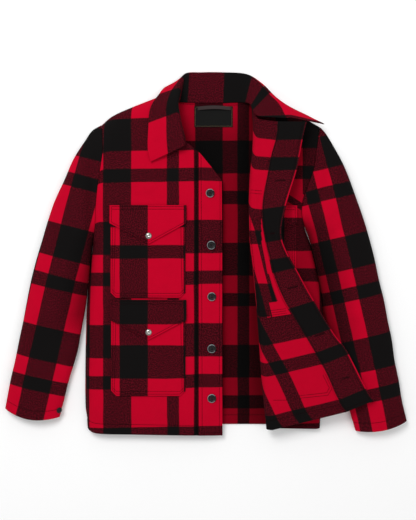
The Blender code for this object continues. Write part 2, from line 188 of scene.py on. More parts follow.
def maths(tree, kind, first, second=None, third=None, clamp=False):
    """A Math node whose inputs are sockets or plain numbers."""
    node = tree.nodes.new("ShaderNodeMath")
    node.operation = kind
    node.use_clamp = clamp
    for socket, value in zip(node.inputs, (first, second, third)):
        if value is None:
            continue
        if isinstance(value, (int, float)):
            socket.default_value = value
        else:
            tree.links.new(value, socket)
    return node.outputs[0]


def mixed(tree, share, first, second):
    """A colour between two, each a socket or a plain colour."""
    node = tree.nodes.new("ShaderNodeMix")
    node.data_type = "RGBA"
    for socket, value in ((node.inputs[0], share), (node.inputs[6], first), (node.inputs[7], second)):
        if isinstance(value, (int, float)):
            socket.default_value = value
        elif isinstance(value, tuple):
            socket.default_value = (*value, 1)
        else:
            tree.links.new(value, socket)
    return node.outputs[2]


def noise(tree, vector, scale, detail=2.0, rough=0.5):
    node = tree.nodes.new("ShaderNodeTexNoise")
    node.inputs["Scale"].default_value = scale
    node.inputs["Detail"].default_value = detail
    node.inputs["Roughness"].default_value = rough
    tree.links.new(vector, node.inputs["Vector"])
    return node.outputs["Fac"]


def bands(tree, value, repeat, dark):
    """1 where the value, in metres of cloth, lies in a dark band of the repeat."""
    share = maths(tree, "FRACT", maths(tree, "DIVIDE", value, repeat / 1000))
    ramp = tree.nodes.new("ShaderNodeValToRGB")
    tree.links.new(share, ramp.inputs[0])
    stops = [(0.0, 1.0)]
    for low, high in dark:
        if low:
            stops += [((low - BAND_BLUR) / repeat, 0.0), ((low + BAND_BLUR) / repeat, 1.0)]
        stops += [((high - BAND_BLUR) / repeat, 1.0), ((high + BAND_BLUR) / repeat, 0.0)]
    stops += [((repeat - 2 * BAND_BLUR) / repeat, 0.0), (1.0, 1.0)]
    points = ramp.color_ramp.elements
    points[0].position, points[1].position = stops[0][0], stops[-1][0]
    points[0].color = points[1].color = (1, 1, 1, 1)
    for place, level in stops[1:-1]:
        points.new(place).color = (level, level, level, 1)
    return ramp.outputs[0]


def woven_check():
    """The shader node group: UV in, colour and height out."""
    tree = bpy.data.node_groups.new("woven_check", "ShaderNodeTree")
    tree.interface.new_socket("Cloth place", in_out="INPUT", socket_type="NodeSocketVector")
    tree.interface.new_socket("Colour", in_out="OUTPUT", socket_type="NodeSocketColor")
    tree.interface.new_socket("Height", in_out="OUTPUT", socket_type="NodeSocketFloat")
    enter = tree.nodes.new("NodeGroupInput")
    leave = tree.nodes.new("NodeGroupOutput")
    place = enter.outputs[0]
    split = tree.nodes.new("ShaderNodeSeparateXYZ")
    tree.links.new(place, split.inputs[0])
    fray = maths(tree, "MULTIPLY", maths(tree, "SUBTRACT", noise(tree, place, 900.0), 0.5), 0.0024)
    drift = maths(tree, "MULTIPLY", maths(tree, "SUBTRACT", noise(tree, place, 11.0), 0.5), 0.004)
    wander = maths(tree, "ADD", fray, drift)
    columns = bands(tree, maths(tree, "ADD", split.outputs[0], wander), COLUMN_REPEAT, DARK_COLUMNS)
    rows = bands(tree, maths(tree, "SUBTRACT", split.outputs[1], wander), ROW_REPEAT, DARK_ROWS)
    diagonal = maths(tree, "ADD", split.outputs[0], split.outputs[1])
    wave = maths(tree, "SINE", maths(tree, "MULTIPLY", diagonal, tau / TWILL_PITCH))
    fuzz = noise(tree, place, 1500.0, 3.0, 0.65)
    clouds = noise(tree, place, 42.0, 3.0, 0.6)
    speckle = maths(tree, "MULTIPLY_ADD", noise(tree, place, 460.0, 1.0, 0.6), 3.4, -1.75)
    nap = maths(tree, "ADD", maths(tree, "MULTIPLY", fuzz, 0.9), speckle)
    twill = maths(tree, "MULTIPLY_ADD", wave, 0.25, nap, clamp=True)
    heather = mixed(tree, twill, HEATHER_DARK, HEATHER_LIGHT)
    red_level = maths(tree, "ADD", maths(tree, "MULTIPLY_ADD", fuzz, 0.34, 0.72),
                      maths(tree, "MULTIPLY_ADD", clouds, 0.22, -0.02))
    red = mixed(tree, red_level, (0.09, 0.0006, 0.004), RED_YARN)
    black = mixed(tree, fuzz, (0.0022, 0.002, 0.002), (0.0078, 0.0068, 0.0068))
    either = maths(tree, "MAXIMUM", columns, rows)
    both = maths(tree, "MULTIPLY", columns, rows)
    one_dark = mixed(tree, either, red, heather)
    tree.links.new(mixed(tree, both, one_dark, black), leave.inputs[0])
    nap = maths(tree, "MULTIPLY_ADD", wave, 0.22, fuzz)
    tree.links.new(maths(tree, "MULTIPLY_ADD", clouds, 0.8, nap), leave.inputs[1])
    return tree


check_group = woven_check()
print("woven check:", len(check_group.nodes), "nodes")

# %% [markdown]
# ## The wool finish
# Wool this thick is matt, with a short nap that catches light at grazing angles. That is a little sheen
# over a rough surface, and a bump of a few hundredths of a millimetre. The black parts stay black only if
# the plain reflection is weak, so its level is low.

# %% The wool's material
def wool_finish(name, sheen, bump, shade=1.0):
    made = bpy.data.materials.new(name)
    made.use_nodes = True
    tree = made.node_tree
    shader = tree.nodes["Principled BSDF"]
    place = tree.nodes.new("ShaderNodeUVMap")
    place.uv_map = "cloth"
    check = tree.nodes.new("ShaderNodeGroup")
    check.node_tree = check_group
    relief = tree.nodes.new("ShaderNodeBump")
    relief.inputs["Strength"].default_value = bump
    relief.inputs["Distance"].default_value = 0.0006
    link(tree, [(place.outputs[0], check.inputs[0]), (check.outputs[1], relief.inputs["Height"]),
                (relief.outputs[0], shader.inputs["Normal"])])
    # Painted shade: each point's stored shade level, times shade, mixes the check's colour towards black.
    depth = tree.nodes.new("ShaderNodeAttribute")
    depth.attribute_name = "shade_paint_level"
    dimmed = maths(tree, "MULTIPLY", depth.outputs["Fac"], shade)
    tree.links.new(mixed(tree, dimmed, (0.0, 0.0, 0.0), check.outputs[0]), shader.inputs["Base Color"])
    shader.inputs["Roughness"].default_value = 0.95
    shader.inputs["Specular IOR Level"].default_value = 0.05
    shader.inputs["Sheen Weight"].default_value = sheen
    shader.inputs["Sheen Roughness"].default_value = 0.45
    shader.inputs["Sheen Tint"].default_value = (0.9, 0.55, 0.55, 1)
    return made


outside_wool = wool_finish("outside_wool", 0.012, 0.6)
# The same wool with painted shade: its colour at 0.94, for the back, the left front and its inner pocket.
inside_wool = wool_finish("inside_wool", 0.01, 0.5, 0.94)

# %% Thread, horn-black plastic, steel and label cloth
def plain_finish(name, colour, second, roughness, scale, bump, metallic=0.0, coat=0.0):
    """A one-colour finish with fine variation on the object's own coordinates."""
    made = bpy.data.materials.new(name)
    made.use_nodes = True
    tree = made.node_tree
    shader = tree.nodes["Principled BSDF"]
    place = tree.nodes.new("ShaderNodeTexCoord").outputs["Object"]
    grain = noise(tree, place, scale, 4.0, 0.6)
    tree.links.new(mixed(tree, grain, colour, second), shader.inputs["Base Color"])
    tree.links.new(maths(tree, "MULTIPLY_ADD", grain, 0.2, roughness - 0.1), shader.inputs["Roughness"])
    relief = tree.nodes.new("ShaderNodeBump")
    relief.inputs["Strength"].default_value = bump
    relief.inputs["Distance"].default_value = 0.0002
    tree.links.new(grain, relief.inputs["Height"])
    tree.links.new(relief.outputs[0], shader.inputs["Normal"])
    shader.inputs["Metallic"].default_value = metallic
    shader.inputs["Coat Weight"].default_value = coat
    shader.inputs["Coat Roughness"].default_value = 0.08
    return made


thread_finish = plain_finish("sewing_thread", (0.004, 0.0005, 0.001), (0.012, 0.001, 0.0022), 0.85, 3000, 0.3)
thread_finish.node_tree.nodes["Principled BSDF"].inputs["Specular IOR Level"].default_value = 0.06
plastic_finish = plain_finish("button_black", (0.004, 0.004, 0.0045), (0.009, 0.009, 0.01), 0.36, 260, 0.1,
                              0.0, 0.0)
plastic_finish.node_tree.nodes["Principled BSDF"].inputs["Specular IOR Level"].default_value = 0.2
# Painted highlight: a light grey for the top of the buttons' rims, where the black plastic catches light.
rim_painted_highlight = plain_finish("button_rim_painted_highlight", (0.12, 0.14, 0.15), (0.26, 0.29, 0.3), 0.3, 500, 0.1, 0.0, 0.2)
steel_finish = plain_finish("snap_steel", (0.28, 0.27, 0.25), (0.42, 0.41, 0.38), 0.22, 800, 0.15, 1.0)
label_finish = plain_finish("label_weave", (0.003, 0.0032, 0.003), (0.009, 0.0092, 0.0088), 0.8, 2600, 0.5)
label_finish.node_tree.nodes["Principled BSDF"].inputs["Specular IOR Level"].default_value = 0.08
gilt_finish = plain_finish("label_thread", (0.2, 0.12, 0.04), (0.32, 0.2, 0.07), 0.6, 3000, 0.3)
loop_finish = plain_finish("loop_tape", (0.01, 0.006, 0.006), (0.03, 0.012, 0.012), 0.85, 2200, 0.6)
print("finishes:", len(bpy.data.materials))

# %% [markdown]
# ## A panel as a fine wall of cloth
# A grid is bent onto the panel's surface, and extruded once for the other face of the cloth. Its outer
# rows lie close together and draw in, so that the cut edge looks rolled, as a turned wool edge is. Lines of
# stitching press a shallow groove and leave their thread in it.

# %% Stations of a grid
FINE = 1.0
RIM = (0.0, 0.45, 1.2, 2.6)
GROOVE = (-2.6, -1.2, 0.0, 1.2, 2.6)
cloth_pieces = {}
thread_paths = {}


def finer(stations, most):
    """The same stations with more between them, none further apart than most."""
    out = [stations[0]]
    for a, b in zip(stations, stations[1:]):
        parts = ceil((b - a) / most)
        out += [a + (b - a) * k / parts for k in range(1, parts + 1)]
    return out


def with_lines(stations, length, low_lines, high_lines, rims):
    """Stations with rim rows at their ends and close rows round each line of stitching."""
    first, last = stations[0], stations[-1]
    unit = (last - first) / length
    extra = []
    if rims:
        extra += [first + d * unit for d in RIM] + [last - d * unit for d in RIM]
    extra += [first + (line + g) * unit for line in low_lines for g in GROOVE]
    extra += [last - (line + g) * unit for line in high_lines for g in GROOVE]
    kept = [s for s in stations if all(abs(s - e) > 1.0 * unit for e in extra)]
    kept += extra
    if not rims:
        kept += [first, last]
    return sorted(set(round(s, 7) for s in kept))


def run_length(surface, fixed, stations, along_u):
    points = [surface(s, fixed) if along_u else surface(fixed, s) for s in stations]
    return sum(float(np.linalg.norm(b - a)) for a, b in zip(points, points[1:]))


# %% Creases
def creases(x, y, table):
    """The height that soft ridges and troughs add: each row a line, its half width and its height."""
    total = np.zeros_like(x)
    for x0, y0, x1, y1, half, high in table:
        run = (x1 - x0) ** 2 + (y1 - y0) ** 2
        t = np.clip(((x - x0) * (x1 - x0) + (y - y0) * (y1 - y0)) / run, 0, 1)
        away = np.hypot(x - x0 - t * (x1 - x0), y - y0 - t * (y1 - y0))
        bow = np.exp(-(away / half) ** 2) * (0.25 + 0.75 * np.sin(pi * t))
        total += high * bow
    return total


# %% The wall of cloth itself
def cumulative(points, axis):
    """Length along one axis of the grid, in space and in plan."""
    steps = np.diff(points, axis=axis)
    deep = np.linalg.norm(steps, axis=2)
    flat = np.linalg.norm(steps[..., :2], axis=2)
    pad = [(1, 0) if k == axis else (0, 0) for k in range(2)]
    return np.cumsum(np.pad(deep, pad), axis=axis), np.cumsum(np.pad(flat, pad), axis=axis)


def grid_normals(points, side, tube):
    if tube:
        wide = np.concatenate([points[-2:-1], points, points[1:2]])
        du = wide[2:] - wide[:-2]
    else:
        du = np.gradient(points, axis=0)
    dv = np.gradient(points, axis=1)
    normal = np.cross(du, dv)
    size = np.linalg.norm(normal, axis=2, keepdims=True)
    return side * normal / np.maximum(size, 1e-9)


def wall(name, surface, columns, rows, side, start, depth, look, pattern, relief=None, lowest=0.0,
         tube=False, lines=None, spacing=3.4, far_pattern=None, groove=0.8, out=1, tone=None):
    """A fine cloth piece on a surface, like the solid's wall but with rolled rims, creases and grooves."""
    lines = {"left": (), "right": (), "bottom": (), "top": (), **(lines or {})}
    spacing = spacing / FINE
    middle_row = rows[len(rows) // 2]
    middle_column = columns[len(columns) // 2]
    wide = run_length(surface, middle_row, finer(columns, 0.02), True)
    tall = run_length(surface, middle_column, finer(rows, 0.02), False)
    us = finer(columns, (columns[-1] - columns[0]) * spacing / wide)
    vs = finer(rows, (rows[-1] - rows[0]) * spacing / tall)
    if not tube:
        us = with_lines(us, wide, lines["left"], lines["right"], True)
    vs = with_lines(vs, tall, lines["bottom"], lines["top"], True)
    nu, nv = len(us), len(vs)
    points = np.array([[surface(u, v) for v in vs] for u in us])
    if tube:
        points[-1] = points[0]
    normal = grid_normals(points, side, tube)
    deep_u, flat_u = cumulative(points, 0)
    deep_v, flat_v = cumulative(points, 1)
    grid = SimpleNamespace(x=points[..., 0], y=points[..., 1], z=points[..., 2],
                           u=np.array(us)[:, None] + np.zeros((1, nv)),
                           v=np.array(vs)[None, :] + np.zeros((nu, 1)),
                           left=deep_u, right=deep_u[-1:] - deep_u, foot=deep_v, head=deep_v[:, -1:] - deep_v,
                           extra_left=(deep_u - flat_u), extra_foot=(deep_v - flat_v),
                           extra_right=(deep_u - flat_u)[-1:] - (deep_u - flat_u))
    near = points + start * normal
    far = points + (start + depth) * normal
    lift = relief(grid) if relief else np.zeros((nu, nv))
    rise = np.zeros((nu, nv, 3))
    rise[..., 2] = lift
    press = np.zeros((nu, nv))
    for key, away in (("left", grid.left), ("right", grid.right), ("bottom", grid.foot), ("top", grid.head)):
        for line in lines[key]:
            press = np.maximum(press, np.exp(-((away - line) / 1.3) ** 2))
    outer_face = near if out < 0 else far
    inward = normal if out < 0 else -normal
    outer_face += groove * press[..., None] * inward
    near += rise
    far += rise
    roll = np.zeros((nu, nv))
    if not tube:
        for away in (grid.left, grid.right):
            roll = np.maximum(roll, 1 - np.clip(away / (0.55 * depth), 0, 1))
    for away in (grid.foot, grid.head):
        roll = np.maximum(roll, 1 - np.clip(away / (0.55 * depth), 0, 1))
    squeeze = 0.85 * (1 - np.sqrt(1 - roll ** 2))[..., None]
    middle = (near + far) / 2
    near = near + (middle - near) * squeeze
    far = far + (middle - far) * squeeze
    near[..., 2] = np.maximum(near[..., 2], lowest)
    far[..., 2] = np.maximum(far[..., 2], lowest)
    bm = bmesh.new()
    bmesh.ops.create_grid(bm, x_segments=nu - 1, y_segments=nv - 1, size=0.5)
    station = bm.verts.layers.int.new("station")
    level = bm.verts.layers.int.new("level")
    first, last = {}, {}
    for vert in bm.verts:
        i = round((vert.co.x + 0.5) * (nu - 1))
        j = round((vert.co.y + 0.5) * (nv - 1))
        vert[station] = i * nv + j
        if tube and i == 0:
            first[j] = vert
        if tube and i == nu - 1:
            last[j] = vert
    if tube:
        bmesh.ops.weld_verts(bm, targetmap={last[j]: first[j] for j in last})
    grown = bmesh.ops.extrude_face_region(bm, geom=bm.faces[:])["geom"]
    for vert in grown:
        if isinstance(vert, bmesh.types.BMVert):
            vert[level] = 1
    mesh = bpy.data.meshes.new(name)
    bm.to_mesh(mesh)
    bm.free()
    count = len(mesh.vertices)
    where = np.empty(count, np.int32)
    mesh.attributes["station"].data.foreach_get("value", where)
    upper = np.empty(count, np.int32)
    mesh.attributes["level"].data.foreach_get("value", upper)
    both = np.stack([near.reshape(-1, 3), far.reshape(-1, 3)])
    places = (both[upper, where] - [CENTRE_X, CENTRE_Y, 0]) / 1000
    mesh.vertices.foreach_set("co", places.astype(np.float32).reshape(-1))
    cloth_near = np.stack(pattern(grid), axis=2).reshape(-1, 2)
    cloth_far = np.stack((far_pattern or pattern)(grid), axis=2).reshape(-1, 2)
    cloth_both = np.stack([cloth_near, cloth_far])[upper, where] / 1000
    corners = np.empty(len(mesh.loops), np.int32)
    mesh.loops.foreach_get("vertex_index", corners)
    layer = mesh.uv_layers.new(name="cloth")
    layer.data.foreach_set("uv", cloth_both[corners].astype(np.float32).reshape(-1))
    # Painted shade: a level per point that darkens the cloth's colour, 1 where no shade is painted.
    shade_paint_level = mesh.attributes.new("shade_paint_level", "FLOAT", "POINT")
    tones = (tone(grid) if tone else np.ones((nu, nv))).reshape(-1)
    shade_paint_level.data.foreach_set("value", tones[where].astype(np.float32))
    mesh.update()
    mesh.calc_loop_triangles()
    tri = np.empty(len(mesh.loop_triangles) * 3, np.int32)
    mesh.loop_triangles.foreach_get("vertices", tri)
    a, b, c = places[tri.reshape(-1, 3)].transpose(1, 0, 2)
    if (a * np.cross(b, c)).sum() < 0:
        mesh.flip_normals()
    mesh.shade_smooth()
    mesh.materials.append(look)
    piece = bpy.data.objects.new(name, mesh)
    bpy.context.scene.collection.objects.link(piece)
    shown = near if out < 0 else far
    lean = -normal if out < 0 else normal
    patches = np.cross(np.diff(middle, axis=0)[:, :-1], np.diff(middle, axis=1)[:-1])
    area = float(np.linalg.norm(patches, axis=2).sum())
    lengths = [np.linalg.norm(np.diff(middle, axis=way), axis=2).sum(axis=way) for way in (0, 1)]
    flat = [float(length.max()) / 1000 for length in lengths]
    cloth_pieces[name] = SimpleNamespace(piece=piece, shown=shown, lean=lean, grid=grid, area=area / 1e6,
                                         flat=flat, us=us, vs=vs)
    paths = []
    for key, away in (("left", grid.left), ("right", grid.right), ("bottom", grid.foot), ("top", grid.head)):
        for line in lines[key]:
            paths.append(line_on(cloth_pieces[name], key, away, line, lines))
    if paths:
        thread_paths[name] = paths
    print(name, len(tri) // 3, "triangles,", round(flat[0], 3), "by", round(flat[1], 3), "m,",
          round(area / 1e6, 4), "square metres of cloth")
    return piece


def sample(shell, i, j):
    """The shown face's point and its outward direction, at a place between the grid's lines."""
    i = min(max(i, 0), shell.shown.shape[0] - 1.001)
    j = min(max(j, 0), shell.shown.shape[1] - 1.001)
    a, b = int(i), int(j)
    s, t = i - a, j - b
    point = ((1 - s) * (1 - t) * shell.shown[a, b] + s * (1 - t) * shell.shown[a + 1, b]
             + (1 - s) * t * shell.shown[a, b + 1] + s * t * shell.shown[a + 1, b + 1])
    return point, shell.lean[round(i), round(j)]


def line_on(shell, key, away, line, lines):
    """A run of stitching at one distance from an edge, which stops at the outermost lines of the others."""
    nu, nv = away.shape
    path = []
    grid = shell.grid
    if key in ("left", "right"):
        low = min(lines["bottom"]) if lines["bottom"] else 3.0
        high = min(lines["top"]) if lines["top"] else 3.0
        for j in range(nv):
            d = away[:, j] if key == "left" else away[::-1, j]
            i = float(np.interp(line, d, np.arange(nu)))
            i = i if key == "left" else nu - 1 - i
            k = int(round(i))
            if grid.foot[k, j] >= low - 0.3 and grid.head[k, j] >= high - 0.3:
                path.append(sample(shell, i, j))
    else:
        low = min(lines["left"]) if lines["left"] else 3.0
        high = min(lines["right"]) if lines["right"] else 3.0
        for i in range(nu):
            d = away[i] if key == "bottom" else away[i, ::-1]
            j = float(np.interp(line, d, np.arange(nv)))
            j = j if key == "bottom" else nv - 1 - j
            k = int(round(j))
            if grid.left[i, k] >= low - 0.3 and grid.right[i, k] >= high - 0.3:
                path.append(sample(shell, i, j))
    return path


# %% Sewing thread
STITCH = 3.3


def repeated(bead, count):
    """A mesh that holds the bead count times over, made by an Array modifier without any offset."""
    holder = bpy.data.objects.new("bead", bead)
    bpy.context.scene.collection.objects.link(holder)
    row = holder.modifiers.new("row", "ARRAY")
    row.count = count
    row.use_relative_offset = False
    mesh = bpy.data.meshes.new_from_object(holder.evaluated_get(bpy.context.evaluated_depsgraph_get()))
    bpy.data.objects.remove(holder)
    return mesh


def bead_mesh():
    bm = bmesh.new()
    bmesh.ops.create_uvsphere(bm, u_segments=6, v_segments=4, radius=1)
    bead = bpy.data.meshes.new("bead")
    bm.to_mesh(bead)
    bm.free()
    return bead


def along_path(path, pitch):
    """Even places along a path, with the direction there and the way up."""
    points = np.array([p for p, n in path])
    leans = np.array([n for p, n in path])
    run = np.concatenate([[0], np.cumsum(np.linalg.norm(np.diff(points, axis=0), axis=1))])
    spots = np.arange(pitch / 2, run[-1], pitch)

    def at(rows, places):
        return np.stack([np.interp(np.clip(places, 0, run[-1]), run, rows[:, k]) for k in range(3)], axis=1)

    along = at(points, spots + 0.8) - at(points, spots - 0.8)
    along /= np.maximum(np.linalg.norm(along, axis=1, keepdims=True), 1e-9)
    up = at(leans, spots)
    up -= along * (up * along).sum(axis=1, keepdims=True)
    up /= np.maximum(np.linalg.norm(up, axis=1, keepdims=True), 1e-9)
    return at(points, spots), along, up


def stitches(name, paths, look, length=3.0, width=1.25, pitch=STITCH, sunk=0.1):
    """Thread along the paths: one short flattened bead for each stitch."""
    rows = [along_path(path, pitch) for path in paths if len(path) > 1]
    spots, along, up = (np.concatenate([row[k] for row in rows]) for k in range(3))
    aside = np.cross(up, along)
    mesh = repeated(bead_mesh(), len(spots))
    bead = np.empty(len(mesh.vertices) * 3, np.float32)
    mesh.vertices.foreach_get("co", bead)
    bead = bead.reshape(len(spots), -1, 3)
    turned = (bead[..., :1] * along[:, None] * length / 2 + bead[..., 1:2] * aside[:, None] * width / 2
              + bead[..., 2:] * up[:, None] * 0.4 * width)
    places = turned + (spots + sunk * up)[:, None]
    places = (places - [CENTRE_X, CENTRE_Y, 0]) / 1000
    mesh.vertices.foreach_set("co", places.astype(np.float32).reshape(-1))
    mesh.update()
    mesh.shade_smooth()
    mesh.materials.clear()
    mesh.materials.append(look)
    piece = bpy.data.objects.new(name, mesh)
    bpy.context.scene.collection.objects.link(piece)
    print(name, len(spots), "stitches")
    return piece

# %% [markdown]
# ## The right front and its button strip
# The right front is closed over the body, so it stands about 28 mm off the table on the hollow inside, and
# rounds down to the side seam. Its armhole carries a raised ridge, where the sleeve's seam allowance lies
# under it. Creases are troughs and ridges of a millimetre or three, laid where the cloth shows them.

# %% The right front's surface
RIGHT_SIDE = [(-257, -379), (-260, -318), (-260, -252), (-259, -187), (-257, -122), (-253, -67),
              (-249, -17), (-245, 22)]
RIGHT_ARMHOLE = [(-245, 22), (-239, 58), (-237, 103), (-233, 146), (-227, 185), (-222, 223),
                 (-223, 253), (-226, 281)]
RIGHT_SHOULDER = [(-226, 281), (-203, 300), (-162, 319), (-114, 338), (-73, 354)]
RIGHT_NECKLINE = [(-73, 354), (-66, 321), (-58, 287), (-50, 252), (-16, 221), (10, 191), (35, 159)]
RIGHT_EDGE = [(37, -393), (36, -227), (36, 30), (35, 159)]
RIGHT_HEM = [(-257, -379), (-244, -386), (-218, -389), (-162, -390), (-76, -391.5), (37, -393)]
NECK_POINT = 0.42

right_long_edge = joined(edge(RIGHT_SIDE), edge(RIGHT_ARMHOLE), UNDERARM)
right_top = joined(edge(RIGHT_SHOULDER), edge(RIGHT_NECKLINE), NECK_POINT)
right_plan = patch(right_long_edge, edge(RIGHT_EDGE), edge(RIGHT_HEM), right_top)
neck_rise = through([0, 0.25, 0.5, 0.75, 1], [[0], [0.62], [0.9], [1], [1]])
SEAT = CLOTH + GAP


def armhole_rise(v):
    """How far the armhole's edge stands up, from none at its two ends."""
    w = (v - UNDERARM) / (1 - UNDERARM)
    return 0.9 * dome(min(w, 1 - w) / 0.3) if w > 0 else 0.0


def right_front(u, v):
    plan = right_plan(u, v)
    level = FRONT_HEIGHT
    level -= PLACKET_DROP * min(max((plan[0] - PLACKET_RAMP[0]) / (PLACKET_RAMP[1] - PLACKET_RAMP[0]), 0), 1)
    level -= HEM_DROP * ease((plan[1] - HEM_RAMP[0]) / (HEM_RAMP[1] - HEM_RAMP[0]))
    from_side = np.linalg.norm(plan - right_plan(0, v))
    side = armhole_rise(v)
    side += (1 - side) * dome(from_side / SIDE_ROUND)
    from_top = np.linalg.norm(plan - right_plan(u, 1))
    top = float(neck_rise((u - NECK_POINT) / (1 - NECK_POINT))[0]) if u > NECK_POINT else 0.0
    top += (1 - top) * dome(from_top / SHOULDER_ROUND)
    return np.array([plan[0], plan[1], SEAT + (level - SEAT) * side * top])


RIGHT_COLUMNS = [0, 0.012, 0.035, 0.07, 0.12, 0.2, 0.28, 0.35, NECK_POINT, 0.5, 0.58, 0.66, 0.75, 0.833,
                 0.915, 1]
PLACKET_LEFT = -14.8


def placket(u, v):
    """The strip along the front edge, from its straight inner edge at 0 to the front edge at 1."""
    columns = [0.7 + 0.3 * k / 12 for k in range(13)]
    across = [right_plan(column, v)[0] for column in columns]
    x = PLACKET_LEFT + (across[-1] - PLACKET_LEFT) * u
    return right_front(float(np.interp(x, across, columns)), v)

right_front = lru_cache(maxsize=None)(right_front)
right_plan = lru_cache(maxsize=None)(right_plan)
print("right front's shoulder point:", right_front(0, 1))

# %% Creases and checks of the right front
RIGHT_CREASES = [
    # from x, y, to x, y, half width, height
    (-238, -20, -170, -60, 16, 1.6), (-236, -90, -196, -200, 13, -1.4), (-150, 140, -205, 225, 14, 1.8),
    (-222, 110, -214, 20, 9, -1.6), (-95, 250, -110, 160, 18, 1.3), (-30, 60, -34, -120, 13, -1.1),
    (-28, -150, -36, -330, 12, 1.2), (-120, -318, -60, -352, 10, 1.2), (-230, -330, -190, -372, 11, 1.4),
    (-190, 130, -60, 118, 9, -0.9), (-20, 170, -60, 235, 11, -1.3), (-160, 250, -190, 292, 12, -1.6),
]
ARMHOLE_RIDGE = 2.4


def right_relief(grid):
    lift = creases(grid.x, grid.y, RIGHT_CREASES)
    near_arm = np.exp(-((grid.x + 232 + 0.02 * (grid.y - 150)) / 5.0) ** 2)
    lift += ARMHOLE_RIDGE * near_arm * np.clip((grid.y - 30) / 60, 0, 1) * np.clip((300 - grid.y) / 40, 0, 1)
    calm = np.clip(np.minimum(grid.left, grid.head) / 14, 0, 1)
    return lift * calm


def right_pattern(grid):
    return (grid.x + 220.4 - grid.extra_right, 68.8 - grid.y + 0.0177 * (grid.x + 237.6) - grid.extra_foot)


# Painted shadow: the front is darkened, to 0.38 at most, in a narrow band beside the button strip's edge.
def right_painted_shadow(grid):
    strip_edge_shadow = np.exp(-((grid.x - PLACKET_LEFT + 4.5) / 4.2) ** 4)
    return 1 - 0.62 * strip_edge_shadow


wall("wool_front_right", right_front, RIGHT_COLUMNS, ROWS, -1, 0, CLOTH, outside_wool,
     right_pattern, right_relief, SEAT, out=-1, lines={"bottom": (22,), "right": ()},
     tone=right_painted_shadow)


def placket_pattern(grid):
    return grid.x + 86, 73.1 - grid.y


wall("wool_placket_right", placket, [0, 0.5, 1], ROWS, 1, GAP, CLOTH, outside_wool,
     placket_pattern, right_relief, SEAT, out=1, spacing=2.6,
     lines={"left": (7.5,), "right": (6.5,), "bottom": (6,)})

# %% [markdown]
# ## The left front, rolled over and turned back
# One sheet runs from the side seam over a roll of 10 mm radius and back over itself. The face that was
# outside is seen left of the roll, and the inside face is seen on the part that is turned back, so each
# face of the wall gets its own place in the check.

# %% The left front's surface
LEFT_SIDE = [(249, -379), (253, -318), (256, -231), (257, -144), (250, -78), (239, -24), (228, 20),
             (216, 56)]
LEFT_ARMHOLE = [(216, 56), (209, 86), (211, 116), (222, 148), (235, 185), (240, 221), (244, 245),
                (250, 276)]
FOLD = [(131, -377), (120, -264), (114, -175), (107, -87), (98, 0), (95, 26), (93, 85), (93, 119),
        (96, 179), (103, 249), (105, 288)]
FOLD_SHOULDER_END = (97, 333)
FACING_SEAM = [(299, -338), (288, -323), (254, -251), (241, -226), (221, -191), (184, -128), (165, -96),
               (144, -43), (137, -13), (128, 28), (120, 97), (133, 183), (139, 214), (150, 252), (152, 283)]
FREE_EDGE = [(360, -312), (347, -295), (310, -223), (298, -201), (274, -170), (238, -111), (214, -70),
             (193, -31), (180, -9), (162, 38), (169, 92), (194, 177), (201, 211), (208, 250), (216, 282)]
FOLD_START = 0.4
FOLD_END = 0.56
SEAM_AT = 0.8

left_long_edge = joined(edge(LEFT_SIDE), edge(LEFT_ARMHOLE), UNDERARM)
fold_low = edge(FOLD[:-1] + [FOLD_SHOULDER_END])
fold_high = edge(FOLD)
facing_seam = edge(FACING_SEAM)
free_edge = edge(FREE_EDGE)
turned_height = through([0, 0.3, 0.7, 1], [[3.0, 5.0], [3.0, 6.0], [5.0, 5.0], [3.0, 5.0]])


def left_low(t, v):
    """The part that stays face up, from the side at t = 0 to the fold at t = 1."""
    outer = left_long_edge(v)
    inner = fold_low(v) + [FOLD_RADIUS + CLOTH, 0]
    plan = outer + (inner - outer) * t
    top_plan = left_long_edge(1) + (fold_low(1) + [FOLD_RADIUS + CLOTH, 0] - left_long_edge(1)) * t
    from_side = np.linalg.norm(plan - outer)
    side = armhole_rise(v)
    side += (1 - side) * dome(from_side / LEFT_SIDE_ROUND)
    top = dome(np.linalg.norm(plan - top_plan) / SHOULDER_ROUND)
    return np.array([plan[0], plan[1], SEAT + (LEFT_HEIGHT - SEAT) * side * top])


def left_high(t, v):
    """The turned-back part's under face, from the fold at 0 past the facing's seam at 1 to its edge at 2."""
    start = fold_high(v) + [FOLD_RADIUS + CLOTH, 0]
    seam = facing_seam(v)
    end = free_edge(v)
    rise_seam, rise_end = turned_height(v)
    lift = EDGE_LIFT * np.exp(-(((v - 0.64) / 0.12) ** 2))
    if t < 1:
        plan = start + (seam - start) * t
        level = FLAP_LOW + rise_seam * ease(t)
    else:
        plan = seam + (end - seam) * (t - 1)
        level = FLAP_LOW + rise_seam + (rise_end - rise_seam) * (t - 1) + lift * (t - 1) ** 1.5
    return np.array([plan[0], plan[1], level])


def left_front(u, v):
    if u <= FOLD_START:
        return left_low(u / FOLD_START, v)
    if u >= FOLD_END:
        past = (u - FOLD_END) / (SEAM_AT - FOLD_END)
        return left_high(min(past, 1) if u <= SEAM_AT else 1 + (u - SEAM_AT) / (1 - SEAM_AT), v)
    low, high = left_low(1, v), left_high(0, v)
    turn = pi * (u - FOLD_START) / (FOLD_END - FOLD_START)
    radius = (high[2] - low[2]) / 2
    half = (1 - cos(turn)) / 2
    return np.array([low[0] + (high[0] - low[0]) * half - FOLD_RADIUS * sin(turn),
                     low[1] + (high[1] - low[1]) * half,
                     low[2] + 2 * radius * half])


LEFT_COLUMNS = [0, 0.01, 0.025, 0.05, 0.1, 0.2, 0.3, FOLD_START]
LEFT_COLUMNS += [FOLD_START + (FOLD_END - FOLD_START) * k / 6 for k in range(1, 7)]
LEFT_COLUMNS += [0.62, 0.68, 0.74, SEAM_AT, 0.86, 0.93, 1]

flat_left_low = left_low


